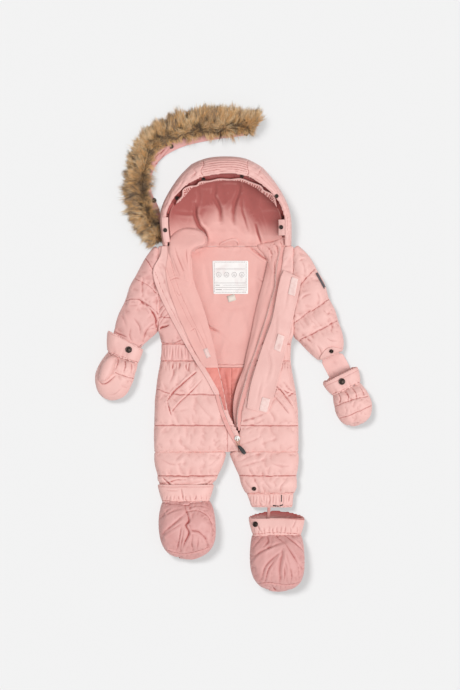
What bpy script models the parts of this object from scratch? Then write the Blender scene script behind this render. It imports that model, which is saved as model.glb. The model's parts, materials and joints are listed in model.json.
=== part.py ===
"""Baby snowsuit, laid open on its back: hood with fur trim, zip front, mittens and booties.

Plan tables are in millimetres, with x to the right, y towards the hood and the crotch near the origin.
The garment lies on z = 0. Everything is scaled to metres and centred over its own box at the end.
"""
import math

import bmesh
import bpy
import numpy as np
from mathutils import Matrix, Vector
from mathutils.bvhtree import BVHTree

MM = 0.001
GAP = 0.3                  # clear space at a seam and between two layers
DRAPE_GAP = 0.45           # clear space under a piece that lies on a facetted one

# Cloth thicknesses
PADDED = 6.0               # shell, wadding and lining of the body, sleeves and legs
PADDED_SMALL = 4.0         # the same of mittens and booties
CUFF_WALL = 2.6            # doubled nylon with a thin fleece
FLEECE = 2.6
NYLON = 1.6                # doubled nylon, such as the storm flap
TAPE = 1.2

# Heights of the garment as it lies
QUILT_PUFF = 4.5           # how far a channel stands over its seams
SMALL_PUFF = 3.0
GATHER = 0.9               # half the depth of an elastic gather
NECK_Y = 401.0
WAIST_TOP_Y = 211.0
WAIST_BOTTOM_Y = 178.0
SNAP_RADIUS = 6.4

PADDED_COLOUR = (0.86, 0.44, 0.42)
FLEECE_COLOUR = (0.90, 0.50, 0.46)
LINING_COLOUR = (0.80, 0.30, 0.26)


def make_material(name, colour, roughness, metallic=0.0):
    material = bpy.data.materials.new(name)
    material.use_nodes = True
    shader = material.node_tree.nodes["Principled BSDF"]
    shader.inputs["Base Color"].default_value = (*colour, 1.0)
    shader.inputs["Roughness"].default_value = roughness
    shader.inputs["Metallic"].default_value = metallic
    return material


# ---------------------------------------------------------------- meshes

def add_object(name, points, faces, material):
    """One closed mesh object from points in millimetres."""
    mesh = bpy.data.meshes.new(name)
    mesh.from_pydata([tuple(float(c) * MM for c in point) for point in points], [], faces)
    solid = bmesh.new()
    solid.from_mesh(mesh)
    bmesh.ops.recalc_face_normals(solid, faces=solid.faces)
    solid.to_mesh(mesh)
    solid.free()
    mesh.shade_smooth()
    mesh.set_sharp_from_angle(angle=math.radians(50))
    mesh.materials.append(material)
    obj = bpy.data.objects.new(name, mesh)
    GARMENT.objects.link(obj)
    # Both ways of splitting a bent four-sided face count as its surface
    triangles = []
    for corners in (tuple(p.vertices) for p in mesh.polygons):
        triangles += [corners[:3]] if len(corners) == 3 else [
            (corners[0], corners[1], corners[2]), (corners[0], corners[2], corners[3]),
            (corners[0], corners[1], corners[3]), (corners[1], corners[2], corners[3])]
    LAYERS[name] = BVHTree.FromPolygons([v.co / MM for v in mesh.vertices], triangles)
    return obj


def wall(name, outer, inner, material, wrap_from=None, tips=None):
    """A cloth wall between two grids of the same size.

    With wrap_from, the last column joins the first from that row on, so an open strip turns into a tube.
    With tips, an outer and an inner point close the last row.
    """
    outer = np.asarray(outer, float)
    inner = np.asarray(inner, float)
    rows, cols = outer.shape[:2]
    points = list(outer.reshape(-1, 3)) + list(inner.reshape(-1, 3))
    skin = rows * cols
    faces = []

    def quad(i, j, k):
        return (i * cols + j, i * cols + k, (i + 1) * cols + k, (i + 1) * cols + j)

    for i in range(rows - 1):
        wraps = wrap_from is not None and i >= wrap_from
        for j in range(cols if wraps else cols - 1):
            face = quad(i, j, (j + 1) % cols)
            faces.append(face)
            faces.append(tuple(skin + v for v in reversed(face)))
        if not wraps:
            for j in (0, cols - 1):
                a, b = i * cols + j, (i + 1) * cols + j
                faces.append((a, b, skin + b, skin + a))
    last = (rows - 1) * cols
    for row, joined in ((0, wrap_from == 0), (last, wrap_from is not None)):
        if row == last and tips is not None:
            continue
        for j in range(cols if joined else cols - 1):
            a, b = row + j, row + (j + 1) % cols
            faces.append((a, b, skin + b, skin + a))
    if wrap_from:
        a, b = wrap_from * cols + cols - 1, wrap_from * cols
        faces.append((a, b, skin + b, skin + a))
    if tips is not None:
        points += [tips[0], tips[1]]
        for j in range(cols):
            a, b = last + j, last + (j + 1) % cols
            faces.append((a, b, 2 * skin))
            faces.append((skin + b, skin + a, 2 * skin + 1))
    return add_object(name, points, faces, material)


def filled(name, rings, material):
    """A closed solid through rings, with a flat fan at each end."""
    rings = np.asarray(rings, float)
    rows, cols = rings.shape[:2]
    points = list(rings.reshape(-1, 3)) + [rings[0].mean(axis=0), rings[-1].mean(axis=0)]
    faces = []
    for i in range(rows - 1):
        for j in range(cols):
            k = (j + 1) % cols
            faces.append((i * cols + j, i * cols + k, (i + 1) * cols + k, (i + 1) * cols + j))
    for j in range(cols):
        k = (j + 1) % cols
        faces.append((k, j, rows * cols))
        faces.append(((rows - 1) * cols + j, (rows - 1) * cols + k, rows * cols + 1))
    return add_object(name, points, faces, material)


# ---------------------------------------------------------------- reading tables

def row_at(table, place):
    """The row at a fractional row number, smoothed through its neighbours."""
    rows = np.asarray(table, float)
    last = len(rows) - 1
    start = int(min(max(place, 0.0), last - 1e-9))
    t = place - start
    before, here = rows[max(start - 1, 0)], rows[start]
    there, after = rows[start + 1], rows[min(start + 2, last)]
    return 0.5 * (2 * here + (there - before) * t + (2 * before - 5 * here + 4 * there - after) * t * t
                  + (3 * here - before - 3 * there + after) * t ** 3)


def value_at(table, key):
    """The columns after the first, read at a value of the first column."""
    rows = np.asarray(sorted(table), float)
    values = [float(np.interp(key, rows[:, 0], rows[:, c])) for c in range(1, rows.shape[1])]
    return values[0] if len(values) == 1 else values


def channel_steps(seams, steps):
    """Row places and puff shares for quilt channels between seam rows of a table."""
    places = []
    for start, end in zip(seams[:-1], seams[1:]):
        for k in range(steps):
            share = k / steps
            places.append((start + (end - start) * share, math.sin(math.pi * share) ** 0.7))
    places.append((seams[-1], 0.0))
    return places


# ---------------------------------------------------------------- flat-laid sections

HALF_TURN = (0.0, 45.0, 90.0)
BOW = 0.8                  # how much less the sides of an open mouth move back than its middle


def section_columns(flats):
    """Columns round a flat-laid tube: near side up, across the top, down the far side, back underneath."""
    spread = [(k + 1) / (flats + 1) for k in range(flats)]
    columns = [("near", angle) for angle in HALF_TURN]
    columns += [("top", share) for share in spread]
    columns += [("far", angle) for angle in reversed(HALF_TURN)]
    columns += [("far", -45.0), ("far", -90.0)]
    columns += [("bottom", 1.0 - share) for share in spread]
    columns += [("near", -90.0), ("near", -45.0)]
    return columns


def section(near, far, height, lift, thick, puff=0.0, flats=3, armhole=False, ripple=0.0, slant=0.0):
    """Outer and inner points of one section between two plan points.

    armhole opens the near side, ripple gathers the top, and slant moves the underside along the tube, most in
    its middle.
    """
    near, far = np.asarray(near, float), np.asarray(far, float)
    across = far - near
    length = float(np.hypot(*across))
    across = across / length
    along = np.array([across[1], -across[0]])
    radius = min(height / 2, 0.42 * length)
    outer, inner = [], []
    for number, (kind, value) in enumerate(section_columns(flats)):
        grow = puff + (ripple if number % 2 else -ripple)
        if kind in ("near", "far"):
            angle = math.radians(value)
            side, up = math.cos(angle), math.sin(angle)
            reach = radius * (1 - side)
            drop = thick + max(radius - thick, 0.4) * (1 - side)
            level, inner_level = height / 2 * (1 + up), height / 2 + (height / 2 - thick) * up
            weight = 1.0 if value >= 0 else 0.0
            if kind == "near" and armhole:
                flat_share = abs(value) / 90.0
                side, up = 0.0, 1.0
                reach = drop = radius * flat_share if value >= 0 else radius * max(flat_share * 2 - 1, 0)
                level = height if value >= 0 else 0.0
                inner_level = height - thick if value >= 0 else thick
                weight = flat_share if value >= 0 else 0.0
            if kind == "far":
                reach, drop, side = length - reach, length - drop, -side
            outer_at = reach - side * grow * weight
            outer_z = level + max(up, 0.0) * grow * weight
            inner_at = drop
        else:
            outer_at = inner_at = radius + (length - 2 * radius) * value
            on_top = kind == "top"
            outer_z = height + grow if on_top else 0.0
            inner_level = height - thick if on_top else thick
        under = slant if outer_z < height * 0.45 else 0.0
        for points, at, z in ((outer, outer_at, outer_z), (inner, inner_at, inner_level)):
            plan = near + across * at + along * under * (1 - BOW * (2 * at / length - 1) ** 2)
            points.append((plan[0], plan[1], z + lift))
    return outer, inner


def mirrored(points):
    grid = np.asarray(points, float).copy()
    grid[..., 0] *= -1
    return grid


# ---------------------------------------------------------------- pieces that lie on others

def top_under(x, y, reach, only=None):
    """The highest built surface within a small square round a plan point."""
    best = 0.0
    names = only or LAYERS
    for dx in (-reach, 0.0, reach):
        for dy in (-reach, 0.0, reach):
            for name in names:
                hit = LAYERS[name].ray_cast(Vector((x + dx, y + dy, 300.0)), Vector((0, 0, -1)))[0]
                if hit is not None:
                    best = max(best, hit.z)
    return best


def corner_shares(u, v):
    """Lowest reading of a cell's four corners at (u, v), over both ways of splitting it into triangles."""
    first = (1 - u, 0, u - v, v) if u >= v else (1 - v, v - u, 0, u)
    second = (1 - u - v, v, u, 0) if u + v <= 1 else (0, 1 - u, 1 - v, u + v - 1)
    return first, second


def lie_on(name, plan, thick, material, only=None, samples=5, reach=1.4, rise=None):
    """A sheet laid on what is below it, from a grid of plan points, clear of it everywhere."""
    plan = np.asarray(plan, float)
    rows, cols = plan.shape[:2]
    base = np.array([[top_under(*plan[i, j], reach, only) for j in range(cols)] for i in range(rows)])
    base += DRAPE_GAP
    steps = [k / samples for k in range(samples + 1)]
    spots = []
    for i in range(rows - 1):
        for j in range(cols - 1):
            corners = plan[i, j], plan[i, j + 1], plan[i + 1, j], plan[i + 1, j + 1]
            for u in steps:
                for v in steps:
                    place = sum(c * w for c, w in zip(corners, ((1 - u) * (1 - v), v * (1 - u), u * (1 - v), u * v)))
                    spots.append((i, j, corner_shares(u, v), top_under(*place, reach, only) + DRAPE_GAP))
    for _ in range(12):
        for i, j, splits, need in spots:
            cells = ((i, j), (i, j + 1), (i + 1, j), (i + 1, j + 1))
            for shares in splits:
                lack = need - sum(base[c] * w for c, w in zip(cells, shares))
                if lack > 0.01:
                    total = sum(w * w for w in shares)
                    for c, w in zip(cells, shares):
                        base[c] += lack * w / total
    bottom = np.dstack([plan, base])
    top = np.dstack([plan, base + thick])
    if rise is not None:
        top[..., 2] += rise
        bottom[..., 2] += rise
    return wall(name, top, bottom, material)


def strip_plan(edge_a, edge_b, rows, cols):
    """Plan points of a strip between two edges, each a list of points."""
    grid = []
    for i in range(rows):
        share = i / (rows - 1)
        a = row_at(edge_a, share * (len(edge_a) - 1))
        b = row_at(edge_b, share * (len(edge_b) - 1))
        grid.append([a + (b - a) * j / (cols - 1) for j in range(cols)])
    return np.array(grid)


def band_plan(edge_table_a, edge_table_b, y_values, cols):
    """Plan points of a strip between two edges read by their y."""
    grid = []
    for y in y_values:
        a, b = value_at(edge_table_a, y), value_at(edge_table_b, y)
        grid.append([(a + (b - a) * j / (cols - 1), y) for j in range(cols)])
    return np.array(grid)


def cap(name, x, y, material, radius=SNAP_RADIUS, height=2.2, only=None, sides=10):
    """A snap cap lying on what is below it and tilted with it."""
    reach = radius * 0.7
    corners = [(x + dx, y + dy, top_under(x + dx, y + dy, 0.4, only))
               for dx, dy in ((-reach, 0), (reach, 0), (0, -reach), (0, reach))]
    west, east, south, north = (Vector(c) for c in corners)
    normal = (east - west).cross(north - south).normalized()
    turn = normal.to_track_quat("Z", "Y").to_matrix()
    centre = sum((Vector(c) for c in corners), Vector()) / 4
    rim = [turn @ Vector((math.cos(t) * radius, math.sin(t) * radius, 0))
           for t in (2 * math.pi * k / sides for k in range(sides))]
    need = 0.0
    for spot in [Vector()] + rim + [p * 0.5 for p in rim]:
        place = centre + spot
        need = max(need, top_under(place.x, place.y, 0.6, only) - place.z)
    centre = centre + normal * (need + DRAPE_GAP)
    profile = ((0.0, 0.94), (0.5, 1.0), (1.0, 0.74))
    rings = [[tuple(centre + p * share + normal * (height * level)) for p in rim] for level, share in profile]
    return filled(name, rings, material)


# ---------------------------------------------------------------- body tables

# y, left side x, right side x, height at the seams
BODY_SIDES = ((401, -131, 131, 28), (238, -131, 131, 28), (228, -129, 129.5, 28), (218, -126.5, 128, 27),
              (211, -125, 126.5, 25), (195, -124.8, 125, 24), (178, -127, 125.2, 25), (160, -130, 127.2, 28),
              (136, -134.2, 132.5, 30), (101, -138, 138, 31), (52, -139.6, 141, 30), (0, -139.2, 140.6, 30))
UNDERARM_Y = {-1: 236.0, 1: 226.0}
UNDERARM_ROWS = (237, 229, 227, 219)
# y, x of each edge of the open front
FOLD_LEFT = ((402, -70), (370, -67.5), (330, -65), (318, -58.5), (287, -47), (255, -37), (209, -25), (179, -18.5),
             (165, -16), (141, -10), (115, -4.5), (99, -1), (80, 2), (66, 8), (52, 15), (36, 25.6), (0, 25.8))
EDGE_RIGHT = ((402, 115), (353, 108), (333, 104.5), (277, 92.5), (248, 84), (212, 71.5), (185, 62.5), (150, 51),
              (124, 43.5), (85, 33), (62, 29.5), (45, 28), (36, 26.2), (0, 26.2))
TEETH_RIGHT = ((402, 107), (388, 105), (365, 99.8), (343, 97.5), (322, 96.5), (307, 92), (287, 86), (271, 82),
               (248, 75), (214, 64), (187, 55), (161, 45), (140, 39.5), (111, 31), (83, 24), (62, 22), (40, 24))
LAP_RIGHT = ((402, 84), (388, 83.5), (346, 76.4), (330, 72), (302, 64), (263, 54.6), (222, 47.4), (185, 38),
             (164, 35), (147, 27.3), (129, 20.3), (108, 15), (80, 12.5), (62, 15), (45, 18.5))
SEAM_LEFT = ((402, -112), (373, -112), (357, -119.5), (314, -110.6), (264, -92.2), (209, -67.3), (170, -45),
             (140, -27), (112, -12))
FREE_LEFT = ((402, -124), (373, -126), (357, -146.8), (305, -128.7), (264, -108.2), (218, -83.3), (177, -59.7),
             (145, -38), (112, -21))
BODICE_SEAMS = (400.85, 362.0, 312.0, 262.0, 211.15)
LOWER_SEAMS = (177.85, 115.0, 52.0, 0.15)
SEWN_UNDER = 1.5           # how far the underlap reaches under the front's edge
CROTCH = (3.0, 12.0)       # x of the crotch and how deep the front dips there


def crotch_dip(x, y):
    centre, depth = CROTCH
    return depth * math.exp(-((x - centre) / 9.0) ** 2) * max(0.0, 1 - y / 16.0)


def seam_rows(seams, steps, extra=()):
    """y values and puff shares between horizontal seams, with extra rows where the shape changes."""
    places = []
    for top, bottom in zip(seams[:-1], seams[1:]):
        shares = [k / steps for k in range(steps)]
        shares += [(top - y) / (top - bottom) for y in extra if bottom < y < top]
        places += [(top + (bottom - top) * share, math.sin(math.pi * share) ** 0.7) for share in sorted(shares)]
    return places + [(seams[-1], 0.0)]


def front_panel(name, side, seams, steps, edge, material, flats, ripple=0.0, puff=QUILT_PUFF):
    """A front panel from its side seam or armhole, over the body's side, to the edge of the opening."""
    underarm = UNDERARM_Y[side]
    outer, inner = [], []
    for y, share in seam_rows(seams, steps, UNDERARM_ROWS):
        sides = value_at(BODY_SIDES, y)
        near, height = sides[0 if side < 0 else 1], sides[2]
        armhole = y > underarm
        radius = height / 2
        span = abs(value_at(edge, y) - near) - radius
        grow = puff * share
        outer_row, inner_row = [], []
        for angle in HALF_TURN:
            up, out = math.sin(math.radians(angle)), math.cos(math.radians(angle))
            tilt = angle / 90.0
            if armhole:
                reach = drop = radius * tilt
                levels = (height + grow * tilt, height - PADDED)
            else:
                seam = GAP / 2 if angle == 0 else 0.0
                reach = radius * (1 - out) - out * grow * tilt
                drop = PADDED + (radius - PADDED) * (1 - out)
                levels = (height / 2 * (1 + up) + up * grow + seam, height / 2 + (height / 2 - PADDED) * up + seam)
            outer_row.append((near - side * reach, y, levels[0]))
            inner_row.append((near - side * drop, y, levels[1]))
        for k in range(1, flats + 1):
            x = near - side * (radius + span * k / flats)
            wave = ripple if k % 2 else -ripple
            at_edge = k == flats
            dip = crotch_dip(x, y)
            top = height + (0.35 * grow - 1.2 if at_edge else grow + wave) - dip
            outer_row.append((x, y, top))
            inner_row.append((x, y, height - PADDED + (1.0 if at_edge else 0.0) - dip * 0.6))
        outer.append(outer_row)
        inner.append(inner_row)
    return wall(name, outer, inner, material)


def back_panel(name, y_values, material, flats=6):
    """A back panel, flat underneath, turned up at both sides below the armholes."""
    outer, inner = [], []
    for y in y_values:
        left, right, height = value_at(BODY_SIDES, y)
        radius = height / 2
        outer_row, inner_row = [], []

        def turned_up(near, side, angle):
            up, out = math.sin(math.radians(angle)), math.cos(math.radians(angle))
            seam = GAP / 2 if angle == 0 else 0.0
            if y > UNDERARM_Y[side]:
                reach = drop = radius * abs(angle) / 90.0
                levels = (0.0, PADDED)
            else:
                reach = radius * (1 - out)
                drop = PADDED + (radius - PADDED) * (1 - out)
                levels = (height / 2 * (1 + up) - seam, height / 2 + (height / 2 - PADDED) * up - seam)
            outer_row.append((near - side * reach, y, levels[0]))
            inner_row.append((near - side * drop, y, levels[1]))

        for angle in (0.0, -45.0, -90.0):
            turned_up(left, -1, angle)
        for k in range(1, flats):
            x = left + radius + (right - left - 2 * radius) * k / flats
            outer_row.append((x, y, 0.0))
            inner_row.append((x, y, PADDED))
        for angle in (-90.0, -45.0, 0.0):
            turned_up(right, 1, angle)
        outer.append(outer_row)
        inner.append(inner_row)
    return wall(name, outer, inner, material)


def floor_sheet(name, left_edge, right_edge, y_values, cols, level, thick, material, crease):
    """A lining sheet on the inside of the back, creased lengthwise."""
    plan = band_plan(left_edge, right_edge, y_values, cols)
    top, bottom = [], []
    for row in plan:
        top.append([(x, y, level + thick + crease * (0.5 + 0.5 * math.sin(x * 0.16 + y * 0.021))) for x, y in row])
        bottom.append([(x, y, level) for x, y in row])
    return wall(name, top, bottom, material)


def build_body(cloth):
    padded, fleece, lining = cloth["nylon"], cloth["fleece"], cloth["lining"]
    waist_seams = (WAIST_TOP_Y - GAP / 2, WAIST_BOTTOM_Y + GAP / 2)
    back_panel("bodice_back", [y for y, _ in seam_rows(BODICE_SEAMS, 2, UNDERARM_ROWS)], padded)
    waist_rows = [y for y, _ in seam_rows(waist_seams, 2)]
    back_panel("seat_back", waist_rows[:-1] + [y for y, _ in seam_rows(LOWER_SEAMS, 4)], padded)
    inside = PADDED + GAP
    lining_left, lining_right = ((402, -84), (165, -52), (30, -24)), ((402, 96), (165, 66), (30, 52))
    floor_sheet("back_lining", lining_left, lining_right, np.linspace(400.8, 165, 9), 9, inside, FLEECE, fleece, 0.8)
    floor_sheet("lower_lining", lining_left, lining_right, np.linspace(164.6, 30, 7), 7, inside, NYLON, lining, 1.0)
    for side, word, edge, flats in ((-1, "left", FOLD_LEFT, 5), (1, "right", EDGE_RIGHT, 3)):
        front_panel("bodice_front_" + word, side, BODICE_SEAMS, 2, edge, padded, flats)
        front_panel("waist_front_" + word, side, waist_seams, 2, edge, padded, 15 if side < 0 else 11,
                    ripple=GATHER, puff=1.0)
        front_panel("lower_front_" + word, side, LOWER_SEAMS, 4, edge, padded, 6)


def build_linings_beside_opening(cloth):
    """Facing and placket turned out on the left front, and the underlap below the zip on the right one."""
    rows_y = np.linspace(400, 166, 13)
    left_front = ["bodice_front_left", "waist_front_left", "lower_front_left", "sleeve_left"]
    inset = [(y, x + 1.0) for y, x in SEAM_LEFT]
    fold = [(y, x - 0.5) for y, x in FOLD_LEFT]
    lie_on("facing_left", band_plan(inset, fold, rows_y, 5), 4.5, cloth["fleece"], left_front)
    beside_tape = ((165, -40.8), (140, -25.8), (114, -11.9), (112, -11.2), (95, -8), (80, -3.9))
    lie_on("lining_left", band_plan(beside_tape, fold, np.linspace(164.5, 82, 6), 3), 2.0, cloth["lining"], left_front)
    seam = [(y, x + 0.4) for y, x in SEAM_LEFT]
    lie_on("placket_left", band_plan(FREE_LEFT, seam, np.linspace(400, 113, 16), 3), 2.4, cloth["nylon"],
           left_front)
    tape_left = ((-21, 112), (-13, 80), (3.5, 40), (23.5, 7))
    tape_right = ((-13, 112), (-5, 80), (13.5, 41), (29.5, 10))
    lie_on("zip_tape_left", strip_plan(tape_left, tape_right, 9, 2), TAPE, cloth["tape"],
           ["lower_front_left", "lower_front_right"])
    top, bottom = [], []
    for y in np.linspace(400, 46, 19):
        height = min(value_at(BODY_SIDES, y + step)[2] for step in (-10, 0, 10))
        start, end = value_at(LAP_RIGHT, y), value_at(EDGE_RIGHT, y) + SEWN_UNDER
        # The front's inside rises by 1 mm over its last column of faces, which the sewn edge follows
        span = value_at(BODY_SIDES, y)[1] - height / 2 - value_at(EDGE_RIGHT, y)
        drop = min(SEWN_UNDER * (3 if y > WAIST_TOP_Y else 6) / span, 1.0)
        sewn = height - PADDED + 1.0 - drop - 0.4
        row = []
        for share, level in ((0.0, 17.0), (0.3, 18.8), (0.7, height - PADDED - 1.5), (1.0, sewn)):
            row.append((start + (end - start) * share, y, level))
        top.append(row)
        bottom.append([(x, y, z - 2.2) for x, y, z in row])
    wall("underlap_right", top, bottom, cloth["fleece"])
    top, bottom = [], []
    for y in np.linspace(400, 42, 19):
        height = value_at(BODY_SIDES, y)[2]
        edge = value_at(EDGE_RIGHT, y) - GAP
        row = [(value_at(TEETH_RIGHT, y), y, height - 3.2), (edge, y, height - 3.2)]
        top.append(row)
        bottom.append([(x, y, z - TAPE) for x, y, z in row])
    wall("zip_tape_right", top, bottom, cloth["tape"])


FLAP_LEFT = ((112.5, 354), (103.5, 333), (94, 277), (86.5, 248), (73, 212.5), (64, 185), (53, 150), (46, 124), (40.6, 86))
FLAP_RIGHT = ((146, 338), (144.5, 322), (131.6, 267), (126, 241), (120.9, 218), (109.2, 171), (97.5, 125), (91, 99), (80, 75))
# Corners of the hook-and-loop patches on the storm flap
FLAP_PATCHES = (((129.3, 341), (139, 337.5), (132.6, 303.5), (122, 307.5)),
                ((102.6, 230.3), (112.5, 226), (104.7, 195), (94.5, 200)),
                ((72.2, 107.3), (84.6, 104), (78, 78), (66, 81)))
POCKETS = {"left": ((-72, 152), (-118, 97), (-58.5, 141), (-106, 85)),
           "right": ((98.9, 126.4), (127.3, 92.6), (95.2, 108.4), (120.7, 79.2))}


def build_flap_and_trims(cloth):
    for word, (top_a, low_a, top_b, low_b) in POCKETS.items():
        plan = strip_plan((top_a, low_a), (top_b, low_b), 7, 3)
        lie_on("pocket_welt_" + word, plan, 2.4, cloth["nylon"], ["lower_front_" + word])
    flap = strip_plan(FLAP_LEFT, FLAP_RIGHT, 14, 4)
    lie_on("storm_flap", flap, NYLON + 0.6, cloth["nylon"])
    for number, (a, b, c, d) in enumerate(FLAP_PATCHES, 1):
        plan = strip_plan((a, d), (b, c), 4, 2)
        lie_on("flap_patch_%d" % number, plan, TAPE, cloth["hook_loop"], ["storm_flap"])
    label = strip_plan(((-26.5, 373), (-24.4, 308)), ((43.3, 373), (43, 308)), 5, 5)
    lie_on("care_label", label, 0.8, cloth["label"], ["back_lining"])


# ---------------------------------------------------------------- sleeves, mittens

# armhole or inner x, y, outer x, outer y, height, lift
SLEEVE_RIGHT = ((131.3, 394, 139, 402.5, 28, 0), (131.3, 350, 160, 379, 29, 0), (131.3, 305, 176.5, 354, 29, 0),
                (131.3, 276, 189.5, 327, 29, 0), (131.3, 252, 199, 300, 28, 0), (131.6, 230, 208, 278, 29, 0),
                (141, 217, 217.5, 256.5, 27, 0), (161.5, 199.5, 225, 226, 28, 0), (180.5, 178, 228.3, 198.5, 22, 0))
SLEEVE_LEFT = ((131.3, 394, 138.5, 400, 28, 0), (131.3, 352, 154.5, 375.5, 29, 0), (131.3, 305, 173, 347, 29, 0),
               (131.3, 280, 184.5, 321, 29, 0), (131.3, 258, 194.5, 297, 28, 0), (134.5, 238, 204.5, 272, 29, 0),
               (141, 230, 211, 254, 27, 0), (155, 215.5, 216, 241, 25, 0.8), (166, 204, 218.5, 233, 20, 3.4),
               (174, 192.5, 222, 219.5, 18, 3.4))
SLEEVE_WRAP = 5            # the first section past the underarm

# near x, y, far x, y, height of the flat-laid pockets, from the wrist or ankle to the tip
MITTEN_LEFT = ((-229.2, 194.9, -172.6, 173.2, 25), (-239, 181, -174.5, 163, 31), (-249, 166, -178.5, 152, 33),
               (-253.5, 150, -181, 142, 33), (-253.5, 132.5, -185.5, 130.5, 32), (-247.5, 116, -192.5, 116.5, 27),
               (-237, 105.5, -202.5, 106.5, 18))
MITTEN_LEFT_TIP = (-220, 99.6)
CUFF_LEFT = ((-230.5, 238, -161, 199.3, 30), (-233, 217.5, -165, 186, 31), (-231, 196.2, -171.5, 173.8, 29))
MITTEN_RIGHT = ((208.7, 111.4, 260.7, 135.4, 25), (210.3, 100, 270, 123, 31), (212, 89, 277.5, 111.5, 33),
                (215, 77.5, 282.5, 97.5, 33), (219.5, 67, 283.5, 82.5, 32), (227.5, 57.8, 279, 68, 27),
                (239, 52.3, 267, 57.3, 18))
MITTEN_RIGHT_TIP = (253, 50.7)
CUFF_RIGHT = ((188.2, 134.2, 255.8, 166.8, 28), (196, 122.5, 260.8, 153, 29), (208.4, 112, 261.9, 136.6, 27))


def build_tube(name, table, seams, steps, thick, material, mirror=False, wrap_from=0, puff=QUILT_PUFF, flats=3,
               ripple=0.0, calm_from=99):
    """A sleeve or leg through flat-laid sections, quilted between its seam rows up to calm_from."""
    places = channel_steps(seams, steps)
    outer, inner = [], []
    open_rows = sum(1 for place, _ in places if place < wrap_from)
    for place, share in places:
        x1, y1, x2, y2, height, lift = row_at(table, place)
        armhole = place < wrap_from
        if armhole:
            x1 = table[0][0]
        grow = puff * share if place < calm_from else 0.0
        rings = section((x1, y1), (x2, y2), height, max(lift, 0.0), thick, grow, flats, armhole, ripple)
        outer.append(rings[0])
        inner.append(rings[1])
    if mirror:
        outer, inner = mirrored(outer), mirrored(inner)
    return wall(name, outer, inner, material, wrap_from=open_rows)


def build_pocket(name, table, tip, thick, material, puffs, flats=3):
    """A mitten or bootie: flat-laid sections closed by a tip."""
    outer, inner = [], []
    for row, share in zip(table, puffs):
        x1, y1, x2, y2, height = row
        rings = section((x1, y1), (x2, y2), height, 0.0, thick, SMALL_PUFF * share, flats)
        outer.append(rings[0])
        inner.append(rings[1])
    outer, inner = np.array(outer), np.array(inner)
    low = outer[-1][:, 2].mean()
    inside = inner[-1].mean(axis=0)
    return wall(name, outer, inner, material, wrap_from=0,
                tips=((tip[0], tip[1], low * 0.9), (inside[0], inside[1], low)))


def build_cuff(name, table, material, flats, ripples, slant=(0, 0, 0)):
    """A wrist or ankle cuff, gathered towards its last row."""
    outer, inner = [], []
    for (x1, y1, x2, y2, height), ripple, lean in zip(table, ripples, slant):
        rings = section((x1, y1), (x2, y2), height, 0.0, CUFF_WALL, 0.0, flats, ripple=ripple, slant=lean)
        outer.append(rings[0])
        inner.append(rings[1])
    return wall(name, outer, inner, material, wrap_from=0)


def build_arms(cloth):
    nylon = cloth["nylon"]
    build_tube("sleeve_right", SLEEVE_RIGHT, (0, 2, 4, 6, 8), 3, PADDED, nylon, wrap_from=SLEEVE_WRAP)
    build_tube("sleeve_left", SLEEVE_LEFT, (0, 2, 4, 7, 9), 3, PADDED, nylon, mirror=True, wrap_from=SLEEVE_WRAP,
               calm_from=6.5)


def build_mittens(cloth):
    nylon = cloth["nylon"]
    puffs = (0.0, 0.8, 0.3, 1.0, 0.4, 0.9, 0.3)
    build_pocket("mitten_left", MITTEN_LEFT, MITTEN_LEFT_TIP, PADDED_SMALL, nylon, puffs)
    build_pocket("mitten_right", MITTEN_RIGHT, MITTEN_RIGHT_TIP, PADDED_SMALL, nylon, puffs)
    build_cuff("mitten_left_cuff", CUFF_LEFT, nylon, 7, (0.0, 0.0, 0.8))
    build_cuff("mitten_right_cuff", CUFF_RIGHT, nylon, 7, (0.0, 0.0, 0.8), slant=(-6, -3, 0))
    thumb_path = ((-224, 187), (-237, 152.5))
    rings = []
    for share in (0.0, 0.12, 0.35, 0.65, 0.9, 1.0):
        x, y = (a + (b - a) * share for a, b in zip(*thumb_path))
        half = 13.0 * math.sqrt(max(0.0, 1 - (2 * share - 1) ** 4)) + 2.5
        rings.append([(x + half * math.cos(t) * 0.96, y + half * math.cos(t) * 0.28 - 14 * share,
                       max(0.0, math.sin(t)) * (3.0 + 0.4 * half)) for t in
                      (2 * math.pi * k / 12 for k in range(12))])
    rings = np.array(rings)
    spots = rings.reshape(-1, 3)[:, :2]
    level = max(top_under(x, y, 1.5, ["mitten_left", "mitten_left_cuff"]) for x, y in spots) + DRAPE_GAP
    rings[..., 2] += level
    filled("mitten_left_thumb", rings, nylon)
    # Its narrow end lies inside the sleeve's hem, the rest in the cuff's mouth
    strap = np.array([[(186.5, 184), (218.5, 198.2)], [(188.2, 178.6), (220.2, 192.7)], [(187.0, 174.5), (227, 192)],
                      [(188.2, 170), (230, 187.8)], [(194, 160), (237.5, 174)], [(200, 148), (243, 162)],
                      [(206, 137), (248, 152)]])
    levels = np.array([7.8, 7.8, 7.6, 7.2, 6.6, 4.6, 3.6])[:, None]
    top = np.dstack([strap, np.repeat(levels + NYLON + 0.6, 2, axis=1)])
    bottom = np.dstack([strap, np.repeat(levels, 2, axis=1)])
    wall("mitten_right_strap", top, bottom, nylon)
    tab = []
    for share in (0.0, 0.25, 0.5, 0.75, 1.0):
        hem = np.array((184, 180)) + share * np.array((41, 18))
        bulge = 4 + 12 * math.sin(math.pi * share)
        away = np.array((-0.40, 0.917)) * bulge
        tab.append([hem, hem + away / 2, hem + away])
    lie_on("sleeve_tab_right", np.array(tab), 2.0, nylon, ["sleeve_right"], rise=-0.6)


# ---------------------------------------------------------------- legs, booties

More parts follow.
